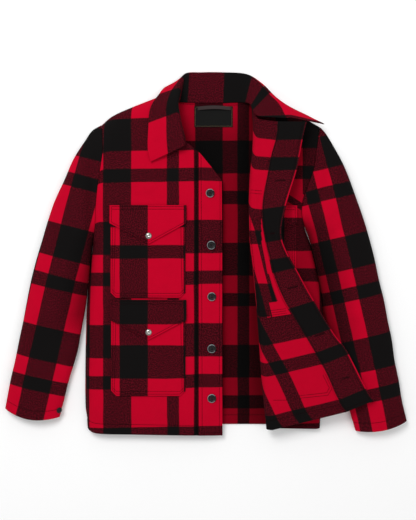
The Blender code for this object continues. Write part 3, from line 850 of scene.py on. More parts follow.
def left_low(t, v):
    """The face-up part again, with the shoulder's soft bulge under the collar."""
    bulge = 8 * sin(pi * t) * max(0.0, (v - 0.85) / 0.15) ** 1.5
    return flat_left_low(t, v) + [0, bulge, 0]


left_front = lru_cache(maxsize=None)(left_front)
print("left front's free edge, half way up:", left_front(1, 0.5))

# %% Creases and checks of the left front
LEFT_CREASES = [
    (150, 60, 176, -40, 10, 2.0), (128, 150, 148, 240, 12, 1.8), (170, -150, 232, -232, 14, -1.8),
    (160, -250, 250, -310, 16, 2.2), (140, -330, 230, -352, 12, -1.6), (208, 120, 222, 190, 8, 2.6),
    (120, -60, 150, -200, 14, 1.4), (250, -210, 300, -290, 10, 1.5), (130, 90, 120, 10, 9, -1.2),
]


def left_relief(grid):
    lift = creases(grid.x, grid.y, LEFT_CREASES)
    lift += 1.1 * np.sin(grid.y / 23 + grid.x / 61) * np.clip((grid.u - 0.6) / 0.2, 0, 1)
    calm = np.clip(np.minimum(grid.left, grid.head) / 14, 0, 1) * np.clip(grid.foot / 10, 0.3, 1)
    low_calm = np.where(grid.u < FOLD_END, 0.35, 1.0)
    return lift * calm * low_calm


def left_outer_pattern(grid):
    """Near the armhole's top the cloth is drawn aside, so its columns shift."""
    drawn = 95 * np.clip((grid.y - 70) / 60, 0, 1)
    return grid.x - 110 + drawn, 77.8 - grid.y


def seam_distance(grid):
    """Distance to the left of the facing's seam, along the turned-back part."""
    seam_at = np.array([np.interp(SEAM_AT, grid.u[:, j], grid.left[:, j]) for j in range(grid.u.shape[1])])
    return seam_at[None, :] - grid.left


def turned_pattern(grid):
    lean = 0.88 + 0.12 * np.clip((grid.v - 0.3) / 0.3, 0, 1)
    return 74 + seam_distance(grid) * lean, (0.712 - grid.v) * 668


def left_painted_shade(grid):
    """The part that stays face up is painted darker, as shade where it lies deep between the turned part and
    the sleeve.
    """
    return 0.62 + 0.38 * np.clip((grid.u - FOLD_START) / 0.06, 0, 1)


wall("wool_front_left", left_front, LEFT_COLUMNS, ROWS, 1, 0, CLOTH, inside_wool,
     left_outer_pattern, left_relief, SEAT, out=1, far_pattern=turned_pattern, spacing=3.6,
     lines={"bottom": (20,)}, tone=left_painted_shade)


def facing_pattern(grid):
    return -2.4 + 64.8 * (grid.u - SEAM_AT) / (1 - SEAM_AT), (0.712 - grid.v) * 668


FACING_CLOTH = 1.8
wall("wool_facing_left", left_front, LEFT_COLUMNS[-4:], ROWS, 1, CLOTH + GAP, FACING_CLOTH, outside_wool,
     facing_pattern, left_relief, SEAT, out=1, spacing=2.8,
     lines={"left": (4.5,), "right": (6.5,), "bottom": (6,)})


def inner_pocket_pattern(grid):
    edge_x = 138 + (-81.7 - grid.y) * 0.245
    off = grid.x - edge_x
    columns, rows = np.where(off > 0, off, off * 1.7), -63.6 - grid.y
    binding = np.interp(-grid.y, [-84, -25, 110], [0, 7, 11])
    bound = (grid.right < binding) | ((grid.v < 0.41) & (grid.u > 0.62))
    return np.where(bound, 100.0, columns), np.where(bound, 150.0, rows)


pocket_columns = [u for u in LEFT_COLUMNS if 0.5 < u < SEAM_AT] + [SEAM_AT - 0.006]
pocket_rows = [v for v in ROWS if 0.35 < v < 0.7]
wall("wool_inner_pocket", left_front, pocket_columns, pocket_rows, 1, CLOTH + GAP, 1.6,
     inside_wool, inner_pocket_pattern, left_relief, SEAT, out=1, spacing=2.8,
     lines={"bottom": (4, 9, 14), "top": (5, 11), "left": (5,)})

# %% [markdown]
# ## The back
# The back lies flat on the table, and its inside shows in the open front. It is spanned between the same
# side and armhole curves as the fronts, a seam's width inside them.

# %% The back's surface and its piece
NECK_BACK = [(-73, 354), (-58, 338), (-30, 333), (14, 332), (60, 332), (97, 334)]
BACK_HEM = [(-257, -379), (-150, -374), (38, -371), (130, -371), (200, -373), (249, -379)]
BACK_TOP = [(-225.4, 281), (-203, 300), (-162, 319), (-114, 338), (-73, 354)]
BACK_TOP_LEFT = [(97, 334), (150, 313), (200, 294), (249.4, 276)]


def back_surface(u, v):
    return np.array([*back_plan(u, v), 0.0])


back_neck = joined(edge(BACK_TOP), edge(NECK_BACK), 0.5)


def seam_allowance(v):
    """How far the back reaches under a side seam: a seam short of the armhole, and past it lower down."""
    under_sleeve = 0.9 + 1.9 * ease((0.59 - v) / 0.06)
    return under_sleeve * ease((v - 0.02) / 0.05) - SEAM


def left_allowance(v):
    """The left sleeve lies a little further off lower down, so the allowance there is wider."""
    return seam_allowance(v) + 3.4 * ease((0.54 - v) / 0.05) * ease((v - 0.26) / 0.05)


back_plan = patch(lambda v: right_long_edge(v) - [seam_allowance(v), 0],
                  lambda v: left_long_edge(v) + [left_allowance(v), 0],
                  edge(BACK_HEM), joined(back_neck, edge(BACK_TOP_LEFT), 0.68))
BACK_CREASES = [
    (70, 250, 40, 60, 14, 2.2), (84, 40, 96, -180, 12, 1.8), (60, -120, 70, -330, 13, 2.4),
    (52, 160, 92, -20, 10, -1.0), (100, -230, 110, -350, 9, 1.6), (-40, 300, 20, 180, 16, 1.5),
]


def back_relief(grid):
    lift = creases(grid.x, grid.y, BACK_CREASES)
    calm = np.clip(np.minimum(np.minimum(grid.left, grid.right), grid.head) / 20, 0, 1)
    return np.clip(lift, 0, None) * calm


def back_pattern(grid):
    return 37 - grid.x, 24 - grid.y


def back_tone(grid):
    """The inside of the back lies in the shade of both fronts."""
    under_fold = np.clip((grid.x - 62) / 40, 0, 1)
    under_neck = np.clip((grid.y - 250) / 60, 0, 1)
    return 0.45 - 0.2 * under_fold + 0.26 * under_neck * (1 - under_fold)


wall("wool_back", back_surface, [0, 0.1, 0.2, 0.34, 0.4, 0.5, 0.6, 0.68, 0.8, 0.9, 1], ROWS, 1, 0, CLOTH,
     inside_wool, back_pattern, back_relief, 0, out=1, spacing=4.0,
     lines={"bottom": (20,), "top": (7,)}, tone=back_tone)

# %% [markdown]
# ## The sleeves
# Each sleeve is a flattened tube. Its checks follow its own middle line, because a sleeve is cut straight
# on the grain and then sewn in at an angle.

# %% The sleeves' surfaces
RIGHT_SLEEVE_OUTER = [(-226, 281), (-246, 269), (-261, 247), (-287, 204), (-306, 160), (-326, 117),
                      (-341, 74), (-354, 30), (-367, -13), (-378, -56), (-387, -100), (-395, -143),
                      (-404, -186), (-413, -230), (-423, -273), (-435, -335)]
RIGHT_SLEEVE_INNER = [(-245, 22), (-250, -17), (-252.4, -45), (-255.2, -78), (-261, -121), (-270, -169),
                      (-277, -208), (-287, -243), (-298, -279), (-307, -316), (-317, -354)]
LEFT_SLEEVE_OUTER = [(250, 276), (262, 262), (283, 225), (304, 182), (328, 117), (343, 74), (356, 30),
                     (367, -13), (376, -56), (387, -100), (395, -143), (404, -186), (410, -230),
                     (419, -273), (426, -316), (437, -362)]
LEFT_SLEEVE_INNER = [(216, 56), (223, 38), (229.8, 17), (242.6, -35), (251.6, -78), (258, -121), (267, -175),
                     (279, -219), (291, -262), (304, -305), (313, -340), (326, -384)]
SLEEVE_HEIGHT = through([0, 0.1, 0.3, 0.6, 0.85, 1], [[30], [36], [37], [33], [31], [27]])


def oval(w, power):
    return max(1 - abs(2 * w - 1) ** power, 0) ** (1 / power)


def sleeve(panel, long_edge, outer, inner, cuff_bow, away):
    """A tube's surface: u runs round it from its outer edge over the top, v from armhole to cuff."""
    outer, inner = edge(outer), edge(inner)

    def arm(w):
        return UNDERARM + (1 - UNDERARM) * (1 - w)

    def at(u, v):
        over = u <= 0.5
        w = 2 * u if over else 2 - 2 * u
        w = (1 - cos(pi * w)) / 2
        a, b = outer(v), inner(v)
        plan = a + (b - a) * w
        straight = outer(0) + (inner(0) - outer(0)) * w
        plan = plan + (long_edge(arm(w)) - straight) * (1 - ease(v / 0.3))
        clear = 1 + 3.5 * (1 - sin(pi * w)) ** 4
        plan = plan + np.array([away * clear, 0]) * (1 - ease(v / 0.1))
        plan = plan + np.array(cuff_bow) * sin(pi * w) * ease((v - 0.75) / 0.25)
        high = float(SLEEVE_HEIGHT(v)[0])
        middle = 0.36 * high
        head = 1 - ease(v / 0.14)
        if over:
            level = middle + (high - middle) * oval(w, 2.4)
            level += (panel(0, arm(w))[2] - level) * head
        else:
            level = middle * (1 - oval(w, 3.5))
            level += (SEAT * (1 - oval(w, 3.5)) - level) * head
        return np.array([plan[0], plan[1], level])

    return at


SLEEVE_ROWS = [0, 0.03, 0.07, 0.11, 0.16, 0.24, 0.33, 0.43, 0.54, 0.65, 0.76, 0.86, 0.94, 1]

# %% Creases and checks of the sleeves
RIGHT_SLEEVE_CREASES = [
    (-262, -20, -330, 30, 12, -2.6), (-268, -60, -350, -30, 15, 2.4), (-272, -120, -345, -90, 12, -2.2),
    (-285, 120, -250, 40, 13, 2.6), (-300, 60, -262, -10, 9, -2.4), (-380, -110, -300, -150, 14, 1.8),
    (-395, -160, -320, -215, 12, -1.8), (-405, -230, -330, -250, 13, 1.6), (-255, 220, -285, 150, 13, 1.8),
    (-420, -290, -340, -300, 9, 1.2), (-360, 20, -385, -60, 9, -1.4),
]
LEFT_SLEEVE_CREASES = [
    (236, 60, 300, 120, 12, 2.6), (250, 30, 318, 70, 10, -2.6), (258, -40, 330, -10, 14, 2.4),
    (262, -90, 340, -60, 12, -2.2), (270, -150, 372, -110, 14, 2.0), (285, -210, 372, -200, 12, -1.8),
    (300, -270, 398, -250, 13, 1.8), (270, 240, 262, 150, 12, 2.0), (250, 190, 300, 130, 11, -1.8),
    (330, -330, 420, -310, 10, 1.4),
]


def middle_line(outer, inner, marks):
    """Points down a sleeve's middle, from its edges, and the length along it from where a row starts."""
    outer, inner = edge(outer), edge(inner)
    line = [(outer(v) + inner(v)) / 2 for v in marks]
    head = line[0] + (line[0] - line[1]) * 6
    foot = line[-1] + (line[-1] - line[-2]) * 1.5
    return np.array([head, *line, foot])


def along_line(grid, line, zero_y):
    """How far down the line each point lies, counted from the height zero_y, and how far to its right."""
    steps = np.diff(line, axis=0)
    runs = np.linalg.norm(steps, axis=1)
    starts = np.concatenate([[0], np.cumsum(runs)])
    best = np.full(grid.x.shape, 1e9)
    down, aside = np.zeros_like(best), np.zeros_like(best)
    for point, step, run, begin in zip(line, steps, runs, starts):
        unit = step / run
        t = np.clip((grid.x - point[0]) * unit[0] + (grid.y - point[1]) * unit[1], 0, run)
        dx, dy = grid.x - point[0] - t * unit[0], grid.y - point[1] - t * unit[1]
        away = np.hypot(dx, dy)
        closer = away < best
        best = np.where(closer, away, best)
        down = np.where(closer, begin + t, down)
        aside = np.where(closer, np.sign(dx * -unit[1] + dy * unit[0]) * away, aside)
    zero = float(np.interp(-zero_y, -line[:, 1], starts))
    return down - zero, aside


right_middle = middle_line(RIGHT_SLEEVE_OUTER, RIGHT_SLEEVE_INNER, (0.3, 0.45, 0.6, 0.75, 0.9))
left_middle = middle_line(LEFT_SLEEVE_OUTER, LEFT_SLEEVE_INNER, (0.3, 0.45, 0.6, 0.75, 0.9))


def right_sleeve_pattern(grid):
    down, aside = along_line(grid, right_middle, 56)
    return 30 + aside, down


def left_sleeve_pattern(grid):
    down, aside = along_line(grid, left_middle, 38.7)
    return 63 - 0.666 * 126 + 9 + aside, down - 4


def sleeve_relief(table):
    def lift(grid):
        over = np.clip(np.sin(np.clip(grid.u, 0, 0.5) * tau), 0, 1) ** 0.6 * (grid.u < 0.5)
        calm = np.clip(grid.v / 0.08, 0, 1) * np.clip((1 - grid.v) / 0.05, 0.2, 1)
        return creases(grid.x, grid.y, table) * over * calm
    return lift


SCENE_SEAM = 0.15
right_sleeve = sleeve(right_front, right_long_edge, RIGHT_SLEEVE_OUTER, RIGHT_SLEEVE_INNER, (-3, -13),
                      -SCENE_SEAM)
left_sleeve = sleeve(left_front, left_long_edge, LEFT_SLEEVE_OUTER, LEFT_SLEEVE_INNER, (2, -8), SCENE_SEAM)


def body_side_tone(high, low):
    """A sleeve is in shade where it lies against the body."""
    def tone(grid):
        inner = np.clip((0.5 - np.abs(grid.u - 0.5) - 0.24) / 0.16, 0, 1)
        beside = np.clip((high - grid.y) / 40, 0, 1) * np.clip((grid.y - low) / 60, 0, 1)
        return 1 - 0.6 * inner * beside
    return tone


RING_FINE = [k / 40 for k in range(41)]
wall("wool_sleeve_right", right_sleeve, RING_FINE, SLEEVE_ROWS, 1, 0, CLOTH, outside_wool,
     right_sleeve_pattern, sleeve_relief(RIGHT_SLEEVE_CREASES), 0, tube=True, out=-1,
     spacing=3.4, lines={"top": (20,)}, tone=body_side_tone(70, -190))
wall("wool_sleeve_left", left_sleeve, RING_FINE, SLEEVE_ROWS, -1, 0, CLOTH, outside_wool,
     left_sleeve_pattern, sleeve_relief(LEFT_SLEEVE_CREASES), 0, tube=True, out=-1,
     spacing=3.4, lines={"top": (20,)}, tone=body_side_tone(90, -230))

# %% [markdown]
# ## The collar
# The collar stands up from the neck seam and rolls over. Its leaf lies on the right front, is folded flat
# behind the neck, and lies in loose waves on the left.

# %% The collar's surface and its piece
COLLAR = [
    # along  neck seam        roll starts      roll ends        outer edge
    (0.00, (-44, 250, 27), (-44, 238, 39), (-50, 228, 44), (-118, 197, 31)),
    (0.10, (-48, 264, 26), (-48, 260, 40), (-56, 258, 46), (-124, 226, 32)),
    (0.22, (-55, 290, 24), (-54, 290, 39), (-62, 291, 45), (-123, 268, 31)),
    (0.32, (-61, 318, 18), (-59, 321, 34), (-67, 325, 40), (-119, 314, 26)),
    (0.40, (-64, 334, 9), (-55, 350, 22), (-62, 357, 27), (-100, 346, 19)),
    (0.45, (-58, 331, 5), (-50, 370, 14), (-56, 378, 13), (-84, 364, 5)),
    (0.50, (-45, 330, 4.3), (-41, 387, 9), (-42, 391, 3), (-48, 362, 1.8)),
    (0.58, (-10, 329, 4.3), (-8, 391, 8.5), (-8, 391, 1.8), (-8, 346, 1.6)),
    (0.68, (35, 329, 4.3), (37, 391, 8.5), (37, 391, 1.8), (36, 346, 1.6)),
    (0.77, (78, 330, 5), (86, 386, 11), (88, 387, 3), (80, 352, 1.8)),
    (0.85, (95, 324, 23), (114, 366, 20), (119, 367, 11), (103, 348, 5)),
    (0.91, (101, 308, 36), (131, 341, 29), (142, 344, 22), (141, 328, 16)),
    (0.96, (107, 298, 43), (152, 317, 38), (172, 318, 34), (208, 303, 26)),
    (1.00, (115, 293, 45), (165, 290, 46), (188, 290, 45), (255, 278, 36)),
]
NECK_SEAT = SEAT + COLLAR_CLOTH / 2 + 0.3
collar_points = through([row[0] for row in COLLAR], [sum(row[1:], ()) for row in COLLAR])


def collar(u, v):
    """u runs from the neck seam over the roll to the outer edge, v from the right end to the left."""
    neck, start, end, outer = collar_points(v).reshape(4, 3)
    neck[2] = max(neck[2], NECK_SEAT)
    if u < 0.35:
        return neck + (start - neck) * u / 0.35
    if u > 0.6:
        return end + (outer - end) * (u - 0.6) / 0.4
    t = (u - 0.35) / 0.25
    into = (start - neck) / np.linalg.norm(start - neck)
    out = (outer - end) / np.linalg.norm(outer - end)
    reach = np.linalg.norm(end - start) * (1 / 3 + (1 - into @ out) / 6)
    a, b = start + into * reach, end - out * reach
    return (1 - t) ** 3 * start + 3 * t * (1 - t) ** 2 * a + 3 * t * t * (1 - t) * b + t ** 3 * end


def collar_relief(grid):
    leaf = np.clip((grid.u - 0.6) / 0.4, 0, 1)
    left_part = np.clip((grid.v - 0.86) / 0.05, 0, 1)
    waves = 2.2 * np.sin((grid.v - 0.86) * 95) * left_part * (0.35 + 0.65 * leaf)
    tip = 3.0 * np.exp(-(((grid.v - 0.02) / 0.05) ** 2)) * leaf ** 2
    return waves * np.clip(grid.u / 0.2, 0, 1) + tip


def collar_pattern(grid):
    reach = np.interp(grid.v, [0, 0.4, 0.5, 0.77, 0.85, 1], [0.776, 0.7, 0.45, 0.45, 0.42, 0.42])
    edge_at = np.array([np.interp(reach[0, j], grid.u[:, j], grid.left[:, j]) for j in range(grid.u.shape[1])])
    along = grid.foot[np.argmin(np.abs(grid.u[:, 0] - 0.7))]
    return 137 - along[None, :] + np.zeros_like(grid.u), 222.5 - (grid.left - edge_at[None, :])


wall("wool_collar", collar, [0, 0.18, 0.35, 0.41, 0.475, 0.54, 0.6, 0.73, 0.87, 1],
     [k / 34 for k in range(35)], 1, -COLLAR_CLOTH / 2, COLLAR_CLOTH, outside_wool,
     collar_pattern, collar_relief, 0, spacing=2.6, out=1,
     lines={"right": (8,), "bottom": (8,), "top": (8,)})

# %% [markdown]
# ## Pockets and flaps
# A pocket bag with cut corners lies on each front, and a pointed flap hangs over its mouth. Both are
# spanned between straight edges and lie on the panel. Those on the right front take that panel's creases,
# and every one adds a swell of its own.

# %% Pockets from one table
POCKETS = [
    # name, left, right, bag top, bag foot, flap top, flap side ends, flap point, point's x, panel's height
    ("upper_right", -204, -43, 102, -95, 105, 66, 21, -122, FRONT_HEIGHT),
    ("lower_right", -203, -43, -101, -306, -98.5, -142, -185, -122, FRONT_HEIGHT),
    ("upper_left", 123, 196, 102, -95, 105, 66, 24, 124, LEFT_HEIGHT),
    ("lower_left", 140, 203, -101, -306, -98.5, -142, -184, 141, LEFT_HEIGHT),
]
POCKET_CUT = 12.0
FLAP_OVER = 2.0
RIGHT_PHASE = {"pocket_upper_right": 127.9, "flap_upper_right": 243.0, "pocket_lower_right": -196.7,
               "flap_lower_right": -79.6}


def straight(points, stations):
    """A line of straight runs through the points, each at its own station."""
    p = np.array(points, float)
    return lambda t: np.array([np.interp(t, stations, p[:, 0]), np.interp(t, stations, p[:, 1])])


def pocket_wall(name, outline_left, outline_right, foot, foot_stations, head, level, swell, rows, lines,
                on_right):
    plan = patch(outline_left, outline_right, straight(foot, foot_stations), straight(head, (0, 1)))

    def surface(u, v):
        x, y = plan(u, v)
        return np.array([x, y, level])

    def lift(grid):
        base = creases(grid.x, grid.y, RIGHT_CREASES if on_right else [])
        edge_near = np.minimum(np.minimum(grid.left, grid.right), np.minimum(grid.foot, grid.head))
        body = swell * (1 - np.exp(-edge_near / 22))
        if name.startswith("flap"):
            body = swell * np.clip(grid.head / 40, 0, 1) ** 1.3
        return base + body

    def pattern(grid):
        if on_right:
            return grid.x + 183.8, RIGHT_PHASE[name] - grid.y
        return grid.x - 110, 77.8 - grid.y

    columns = sorted(set([0, 1, *foot_stations]))
    return wall("wool_" + name, surface, columns, rows, 1, 0, CLOTH, outside_wool, pattern, lift, 0,
                lines=lines, spacing=3.6, out=1, groove=0.8)


pocket_pieces = {}
for name, left, right, top, foot, flap_top, flap_side, point, point_x, height in POCKETS:
    on_right = height == FRONT_HEIGHT
    wide = right - left
    cut = POCKET_CUT / wide
    side_cut = POCKET_CUT if on_right else 0.01
    bag_foot = [(left, foot + side_cut), (left + side_cut, foot), (right - POCKET_CUT, foot),
                (right, foot + POCKET_CUT)]
    bag_left = straight([(left, foot + side_cut), (left, top)], (0, 1))
    bag_right = straight([(right, foot + POCKET_CUT), (right, top)], (0, 1))
    stations = (0, max(side_cut / wide, 1e-4), 1 - cut, 1)
    bag_lines = {"left": (4.5, 10), "right": (4.5, 10), "bottom": (4.5, 10)}
    pocket_pieces["pocket_" + name] = pocket_wall(
        "pocket_" + name, bag_left, bag_right, bag_foot, stations, [(left, top), (right, top)],
        height + GAP, 1.2, [0, 0.5, 1], bag_lines, on_right)
    low_left = (left - FLAP_OVER, flap_side if on_right else point)
    low_right = (right + FLAP_OVER, flap_side)
    flap_foot = [low_left, (point_x, point), low_right]
    middle = (point_x - left + FLAP_OVER) / (wide + 2 * FLAP_OVER)
    flap_left = straight([low_left, (left - FLAP_OVER, flap_top)], (0, 1))
    flap_right = straight([low_right, (right + FLAP_OVER, flap_top)], (0, 1))
    flap_lines = {"left": (4.5,), "right": (4.5,), "bottom": (4.5,), "top": (3.5, 9)}
    pocket_pieces["flap_" + name] = pocket_wall(
        "flap_" + name, flap_left, flap_right, flap_foot, (0, max(middle, 0.02), 1),
        [(left - FLAP_OVER, flap_top), (right + FLAP_OVER, flap_top)], height + 2 * GAP + CLOTH, 2.0,
        [0, 0.5, 1], flap_lines, on_right)

# %% [markdown]
# ## Label and hanging loop
# The label is a small woven patch sewn inside the neck, left bare here, and the loop is a narrow tape over
# its top edge.

# %% The label and the loop
LABEL_LEFT = -24
LABEL_FOOT = 277
LABEL_WIDE = 83
LABEL_LONG = 45
LABEL_CLOTH = 0.9
TAPE_CLOTH = 1.6


def label_surface(u, v):
    return np.array([LABEL_LEFT + LABEL_WIDE * u, LABEL_FOOT + LABEL_LONG * v, CLOTH + GAP])


def loop_path(u, v):
    """A narrow strip that arches along the top of the label, sewn down at its two ends."""
    arch = sin(pi * u)
    return np.array([-17 + 72 * u, 313 + 8 * v + 2 * arch, CLOTH + LABEL_CLOTH + 2 * GAP + 4 * arch])


def plain_pattern(grid):
    return grid.x, grid.y


wall("neck_label", label_surface, [0, 0.5, 1], [0, 0.5, 1], 1, 0, LABEL_CLOTH, label_finish, plain_pattern,
     lambda grid: 0.6 * np.sin(grid.x / 17) ** 2, 0, spacing=2.4, out=1, groove=0.2,
     lines={"left": (2.2,), "right": (2.2,), "bottom": (2.2,), "top": (2.2,)})
loop = wall("tape_loop", loop_path, [k / 10 for k in range(11)], [0, 1], 1, 0, TAPE_CLOTH, loop_finish,
            plain_pattern, None, 0, spacing=1.6, out=1, groove=0.1)

# %% [markdown]
# ## Buttons and snaps
# A button is a profile turned round its axis, with four holes cut through its dish. A turned shape is
# closed and even, and one cutter with four pins makes all the holes at once.

# %% A turned piece and the button with its holes
BUTTON_PROFILE = [(0, 0), (6.6, 0), (8.4, 0.35), (9.3, 1.2), (9.5, 2.1), (9.2, 2.9), (8.6, 3.45), (7.8, 3.6),
                  (7.1, 3.45), (6.5, 3.0), (6.0, 2.6), (5.0, 2.42), (0, 2.4)]
BUTTONS = [(9.5, 131), (12, 19), (13, -92), (13, -204), (13, -311)]
HOLE_RADIUS = 1.05
HOLE_AWAY = 2.3


def turned_mesh(profile, segments):
    bm = bmesh.new()
    path = [bm.verts.new((r / 1000, 0, z / 1000)) for r, z in profile]
    rings = [bm.edges.new(pair) for pair in zip(path, path[1:])]
    bmesh.ops.spin(bm, geom=path + rings, axis=(0, 0, 1), cent=(0, 0, 0), steps=segments, angle=tau,
                   use_merge=True)
    bmesh.ops.remove_doubles(bm, verts=bm.verts[:], dist=2e-6)
    bmesh.ops.recalc_face_normals(bm, faces=bm.faces[:])
    return bm


def stood(bm, point, normal, away):
    """Moves a turned piece onto a surface, its axis along the normal."""
    up = Vector(normal).normalized()
    turn = up.to_track_quat("Z", "Y").to_matrix().to_4x4()
    spot = Vector(placed(np.array(point, float) + away * np.array(normal)))
    bmesh.ops.transform(bm, matrix=Matrix.Translation(spot) @ turn, verts=bm.verts[:])


def object_of(name, bm, look, angle=0.6):
    mesh = bpy.data.meshes.new(name)
    bm.to_mesh(mesh)
    bm.free()
    mesh.shade_smooth()
    mesh.set_sharp_from_angle(angle=angle)
    mesh.materials.append(look)
    made = bpy.data.objects.new(name, mesh)
    bpy.context.scene.collection.objects.link(made)
    return made


def drilled(profile, segments, radius, away):
    """A turned button with four round holes, as a bmesh at the origin."""
    body = object_of("button_blank", turned_mesh(profile, segments), plastic_finish)
    pins = bmesh.new()
    for k in range(4):
        turn = pi / 4 + k * pi / 2
        spot = Matrix.Translation((away * cos(turn) / 1000, away * sin(turn) / 1000,
                                   0.001))
        bmesh.ops.create_cone(pins, cap_ends=True, segments=20, radius1=radius / 1000, radius2=radius / 1000,
                              depth=0.01, matrix=spot)
    cutter = object_of("button_pins", pins, plastic_finish)
    cut = body.modifiers.new("holes", "BOOLEAN")
    cut.operation = "DIFFERENCE"
    cut.solver = "EXACT"
    cut.object = cutter
    out = bmesh.new()
    out.from_object(body, bpy.context.evaluated_depsgraph_get())
    bpy.data.objects.remove(body)
    bpy.data.objects.remove(cutter)
    return out


ramp = PLACKET_DROP / (PLACKET_RAMP[1] - PLACKET_RAMP[0])
tilt = np.array([ramp, 0, 1]) / hypot(ramp, 1)
button_pieces, button_threads = {}, []
for number, (x, y) in enumerate(BUTTONS, 1):
    level = FRONT_HEIGHT - ramp * (x - PLACKET_RAMP[0])
    disc = drilled(BUTTON_PROFILE, 48, HOLE_RADIUS, HOLE_AWAY)
    stood(disc, (x, y, level), tilt, CLOTH + 2 * GAP)
    drilled_piece = object_of(f"drilled_button_{number}", disc, plastic_finish)
    drilled_piece.data.materials.append(rim_painted_highlight)
    hub = Vector(placed(np.array([x, y, level]) + (CLOTH + 2 * GAP) * tilt))
    # The faces on top of the rim take the painted highlight.
    for face in drilled_piece.data.polygons:
        out_from_hub = face.center - hub
        if out_from_hub.xy.length > 0.0079 and out_from_hub.z > 0.0026:
            face.material_index = 1
    button_pieces[f"button_{number}"] = drilled_piece
    for side in (-1, 1):
        a = np.array([x - HOLE_AWAY * 0.7, y + side * HOLE_AWAY * 0.7, level]) + (CLOTH + 2 * GAP + 2.45) * tilt
        b = a + [2 * HOLE_AWAY * 0.7, 0, 0]
        button_threads.append([(a, tilt), (b, tilt)])
thread_crosses = stitches("button_threads", button_threads, thread_finish, 3.6, 0.9, 3.2)

# %% The snaps
SNAP_PROFILE = [(0, 0), (6.3, 0), (6.9, 0.4), (7.0, 0.9), (6.6, 1.7), (5.9, 2.3), (5.0, 2.75), (3.9, 3.1),
                (2.9, 3.3), (2.2, 3.2), (1.5, 2.95), (0, 2.8)]
snap_pieces = {}
for name, y in (("snap_upper_right", 39), ("snap_lower_right", -168)):
    dome_cap = turned_mesh(SNAP_PROFILE, 40)
    stood(dome_cap, (-122, y, FRONT_HEIGHT), (0, 0, 1), 2 * CLOTH + 3 * GAP + 0.9)
    snap_pieces[name] = object_of("domed_" + name, dome_cap, steel_finish)
print("buttons", len(button_pieces), "snaps", len(snap_pieces))

# %% Lines of thread that cross a panel
CROSS_LINES = [
    # panel, points in the picture's pixels
    ("wool_front_left", [(250.5, 190.2), (261.5, 191.5)]),
    ("wool_front_left", [(250.3, 193.2), (261.2, 194.5)]),
    ("wool_front_left", [(298.4, 394.8), (326, 391.8), (328.5, 387), (322, 374)]),
    ("wool_front_left", [(298.6, 397.4), (327.2, 394.3), (331.3, 387.4), (325, 374)]),
    ("wool_front_left", [(273, 399.5), (286.5, 399.3)]),
]
PIXEL = 2.15


def picture_line(shell, pixels):
    """The panel's top points under a line drawn between places of the picture."""
    path = []
    for (ax, ay), (bx, by) in zip(pixels, pixels[1:]):
        for k in range(9):
            x = (ax + (bx - ax) * k / 8 - 205.5) * PIXEL
            y = (254 - ay - (by - ay) * k / 8) * PIXEL
            away = np.hypot(shell.shown[..., 0] - x, shell.shown[..., 1] - y)
            away = away + 1000 * (shell.shown[..., 2] < np.max(shell.shown[..., 2][away < 6], initial=0) - 6)
            near = np.argsort(away, axis=None)[:3]
            weight = 1 / (away.reshape(-1)[near] + 0.1)
            height = (shell.shown[..., 2].reshape(-1)[near] * weight).sum() / weight.sum()
            path.append((np.array([x, y, height]), np.array([0.0, 0.0, 1.0])))
    return path


for panel, pixels in CROSS_LINES:
    thread_paths.setdefault(panel, []).append(picture_line(cloth_pieces[panel], pixels))
print("crossing lines:", len(CROSS_LINES))

# %% Every line of thread
thread_pieces = {}
for name, paths in thread_paths.items():
    on_label = name == "neck_label"
    thread_pieces[name] = stitches("thread_" + name.replace("wool_", ""), paths,
                                   gilt_finish if on_label else thread_finish, 1.8 if on_label else 3.0,
                                   0.5 if on_label else 1.25, 2.2 if on_label else STITCH)

# %% [markdown]
# ## Buttonholes
# The five buttonholes of the left front show from inside, across the facing. Each is a slit with thread
# worked closely round it, so the stitches stand across the edge instead of along it.

# %% Buttonholes worked on the facing
HOLES = [(284, 181), (274.5, 233.5), (295, 286), (322, 332), (349, 375.5)]
hole_rings, slit_shade_mesh = [], bmesh.new()
face_shell = cloth_pieces["wool_facing_left"]
for px, py in HOLES:
    x, y = (px - 205.5) * PIXEL, (254 - py) * PIXEL
    away = np.hypot(face_shell.shown[..., 0] - x, face_shell.shown[..., 1] - y)
    i, j = np.unravel_index(np.argmin(away), away.shape)
    j = min(max(j, 2), away.shape[1] - 3)
    middle_i = len(face_shell.us) // 2
    centre, up = face_shell.shown[middle_i, j], face_shell.lean[middle_i, j]
    across = face_shell.shown[middle_i + 3, j] - face_shell.shown[middle_i - 3, j]
    across = across / np.linalg.norm(across)
    beside = np.cross(up, across)
    for k in range(40):
        turn = k * tau / 40
        bar = 1.0 if abs(cos(turn)) < 0.9 else 1.04
        ring = centre + across * 10.5 * cos(turn) * bar + beside * 1.9 * sin(turn)
        outward = across * cos(turn) * 0.4 + beside * sin(turn)
        outward = outward / np.linalg.norm(outward)
        hole_rings.append([(ring - outward * 1.1, up), (ring + outward * 1.1, up)])
    # The slit is a dark lens of thread colour laid in the cut: painted shade.
    turn = Matrix((across, beside, up)).transposed().to_4x4()
    size = Matrix.Diagonal((0.0095, 0.0008, 0.00035, 1))
    bmesh.ops.create_uvsphere(slit_shade_mesh, u_segments=20, v_segments=6, radius=1,
                              matrix=Matrix.Translation(placed(centre + 0.1 * up)) @ turn @ size)
hole_threads = stitches("buttonhole_threads", hole_rings, thread_finish, 2.4, 0.7, 2.2)
slit_shade_piece = object_of("buttonhole_slit_shade", slit_shade_mesh, thread_finish)

# %% [markdown]
# ## What rides and what is replaced
# Every cloth piece stands for its solid, which is hidden. Its longest ways across and down, measured
# along the cloth itself, were printed when it was made. There are no joints, so everything
# rides on the one body.

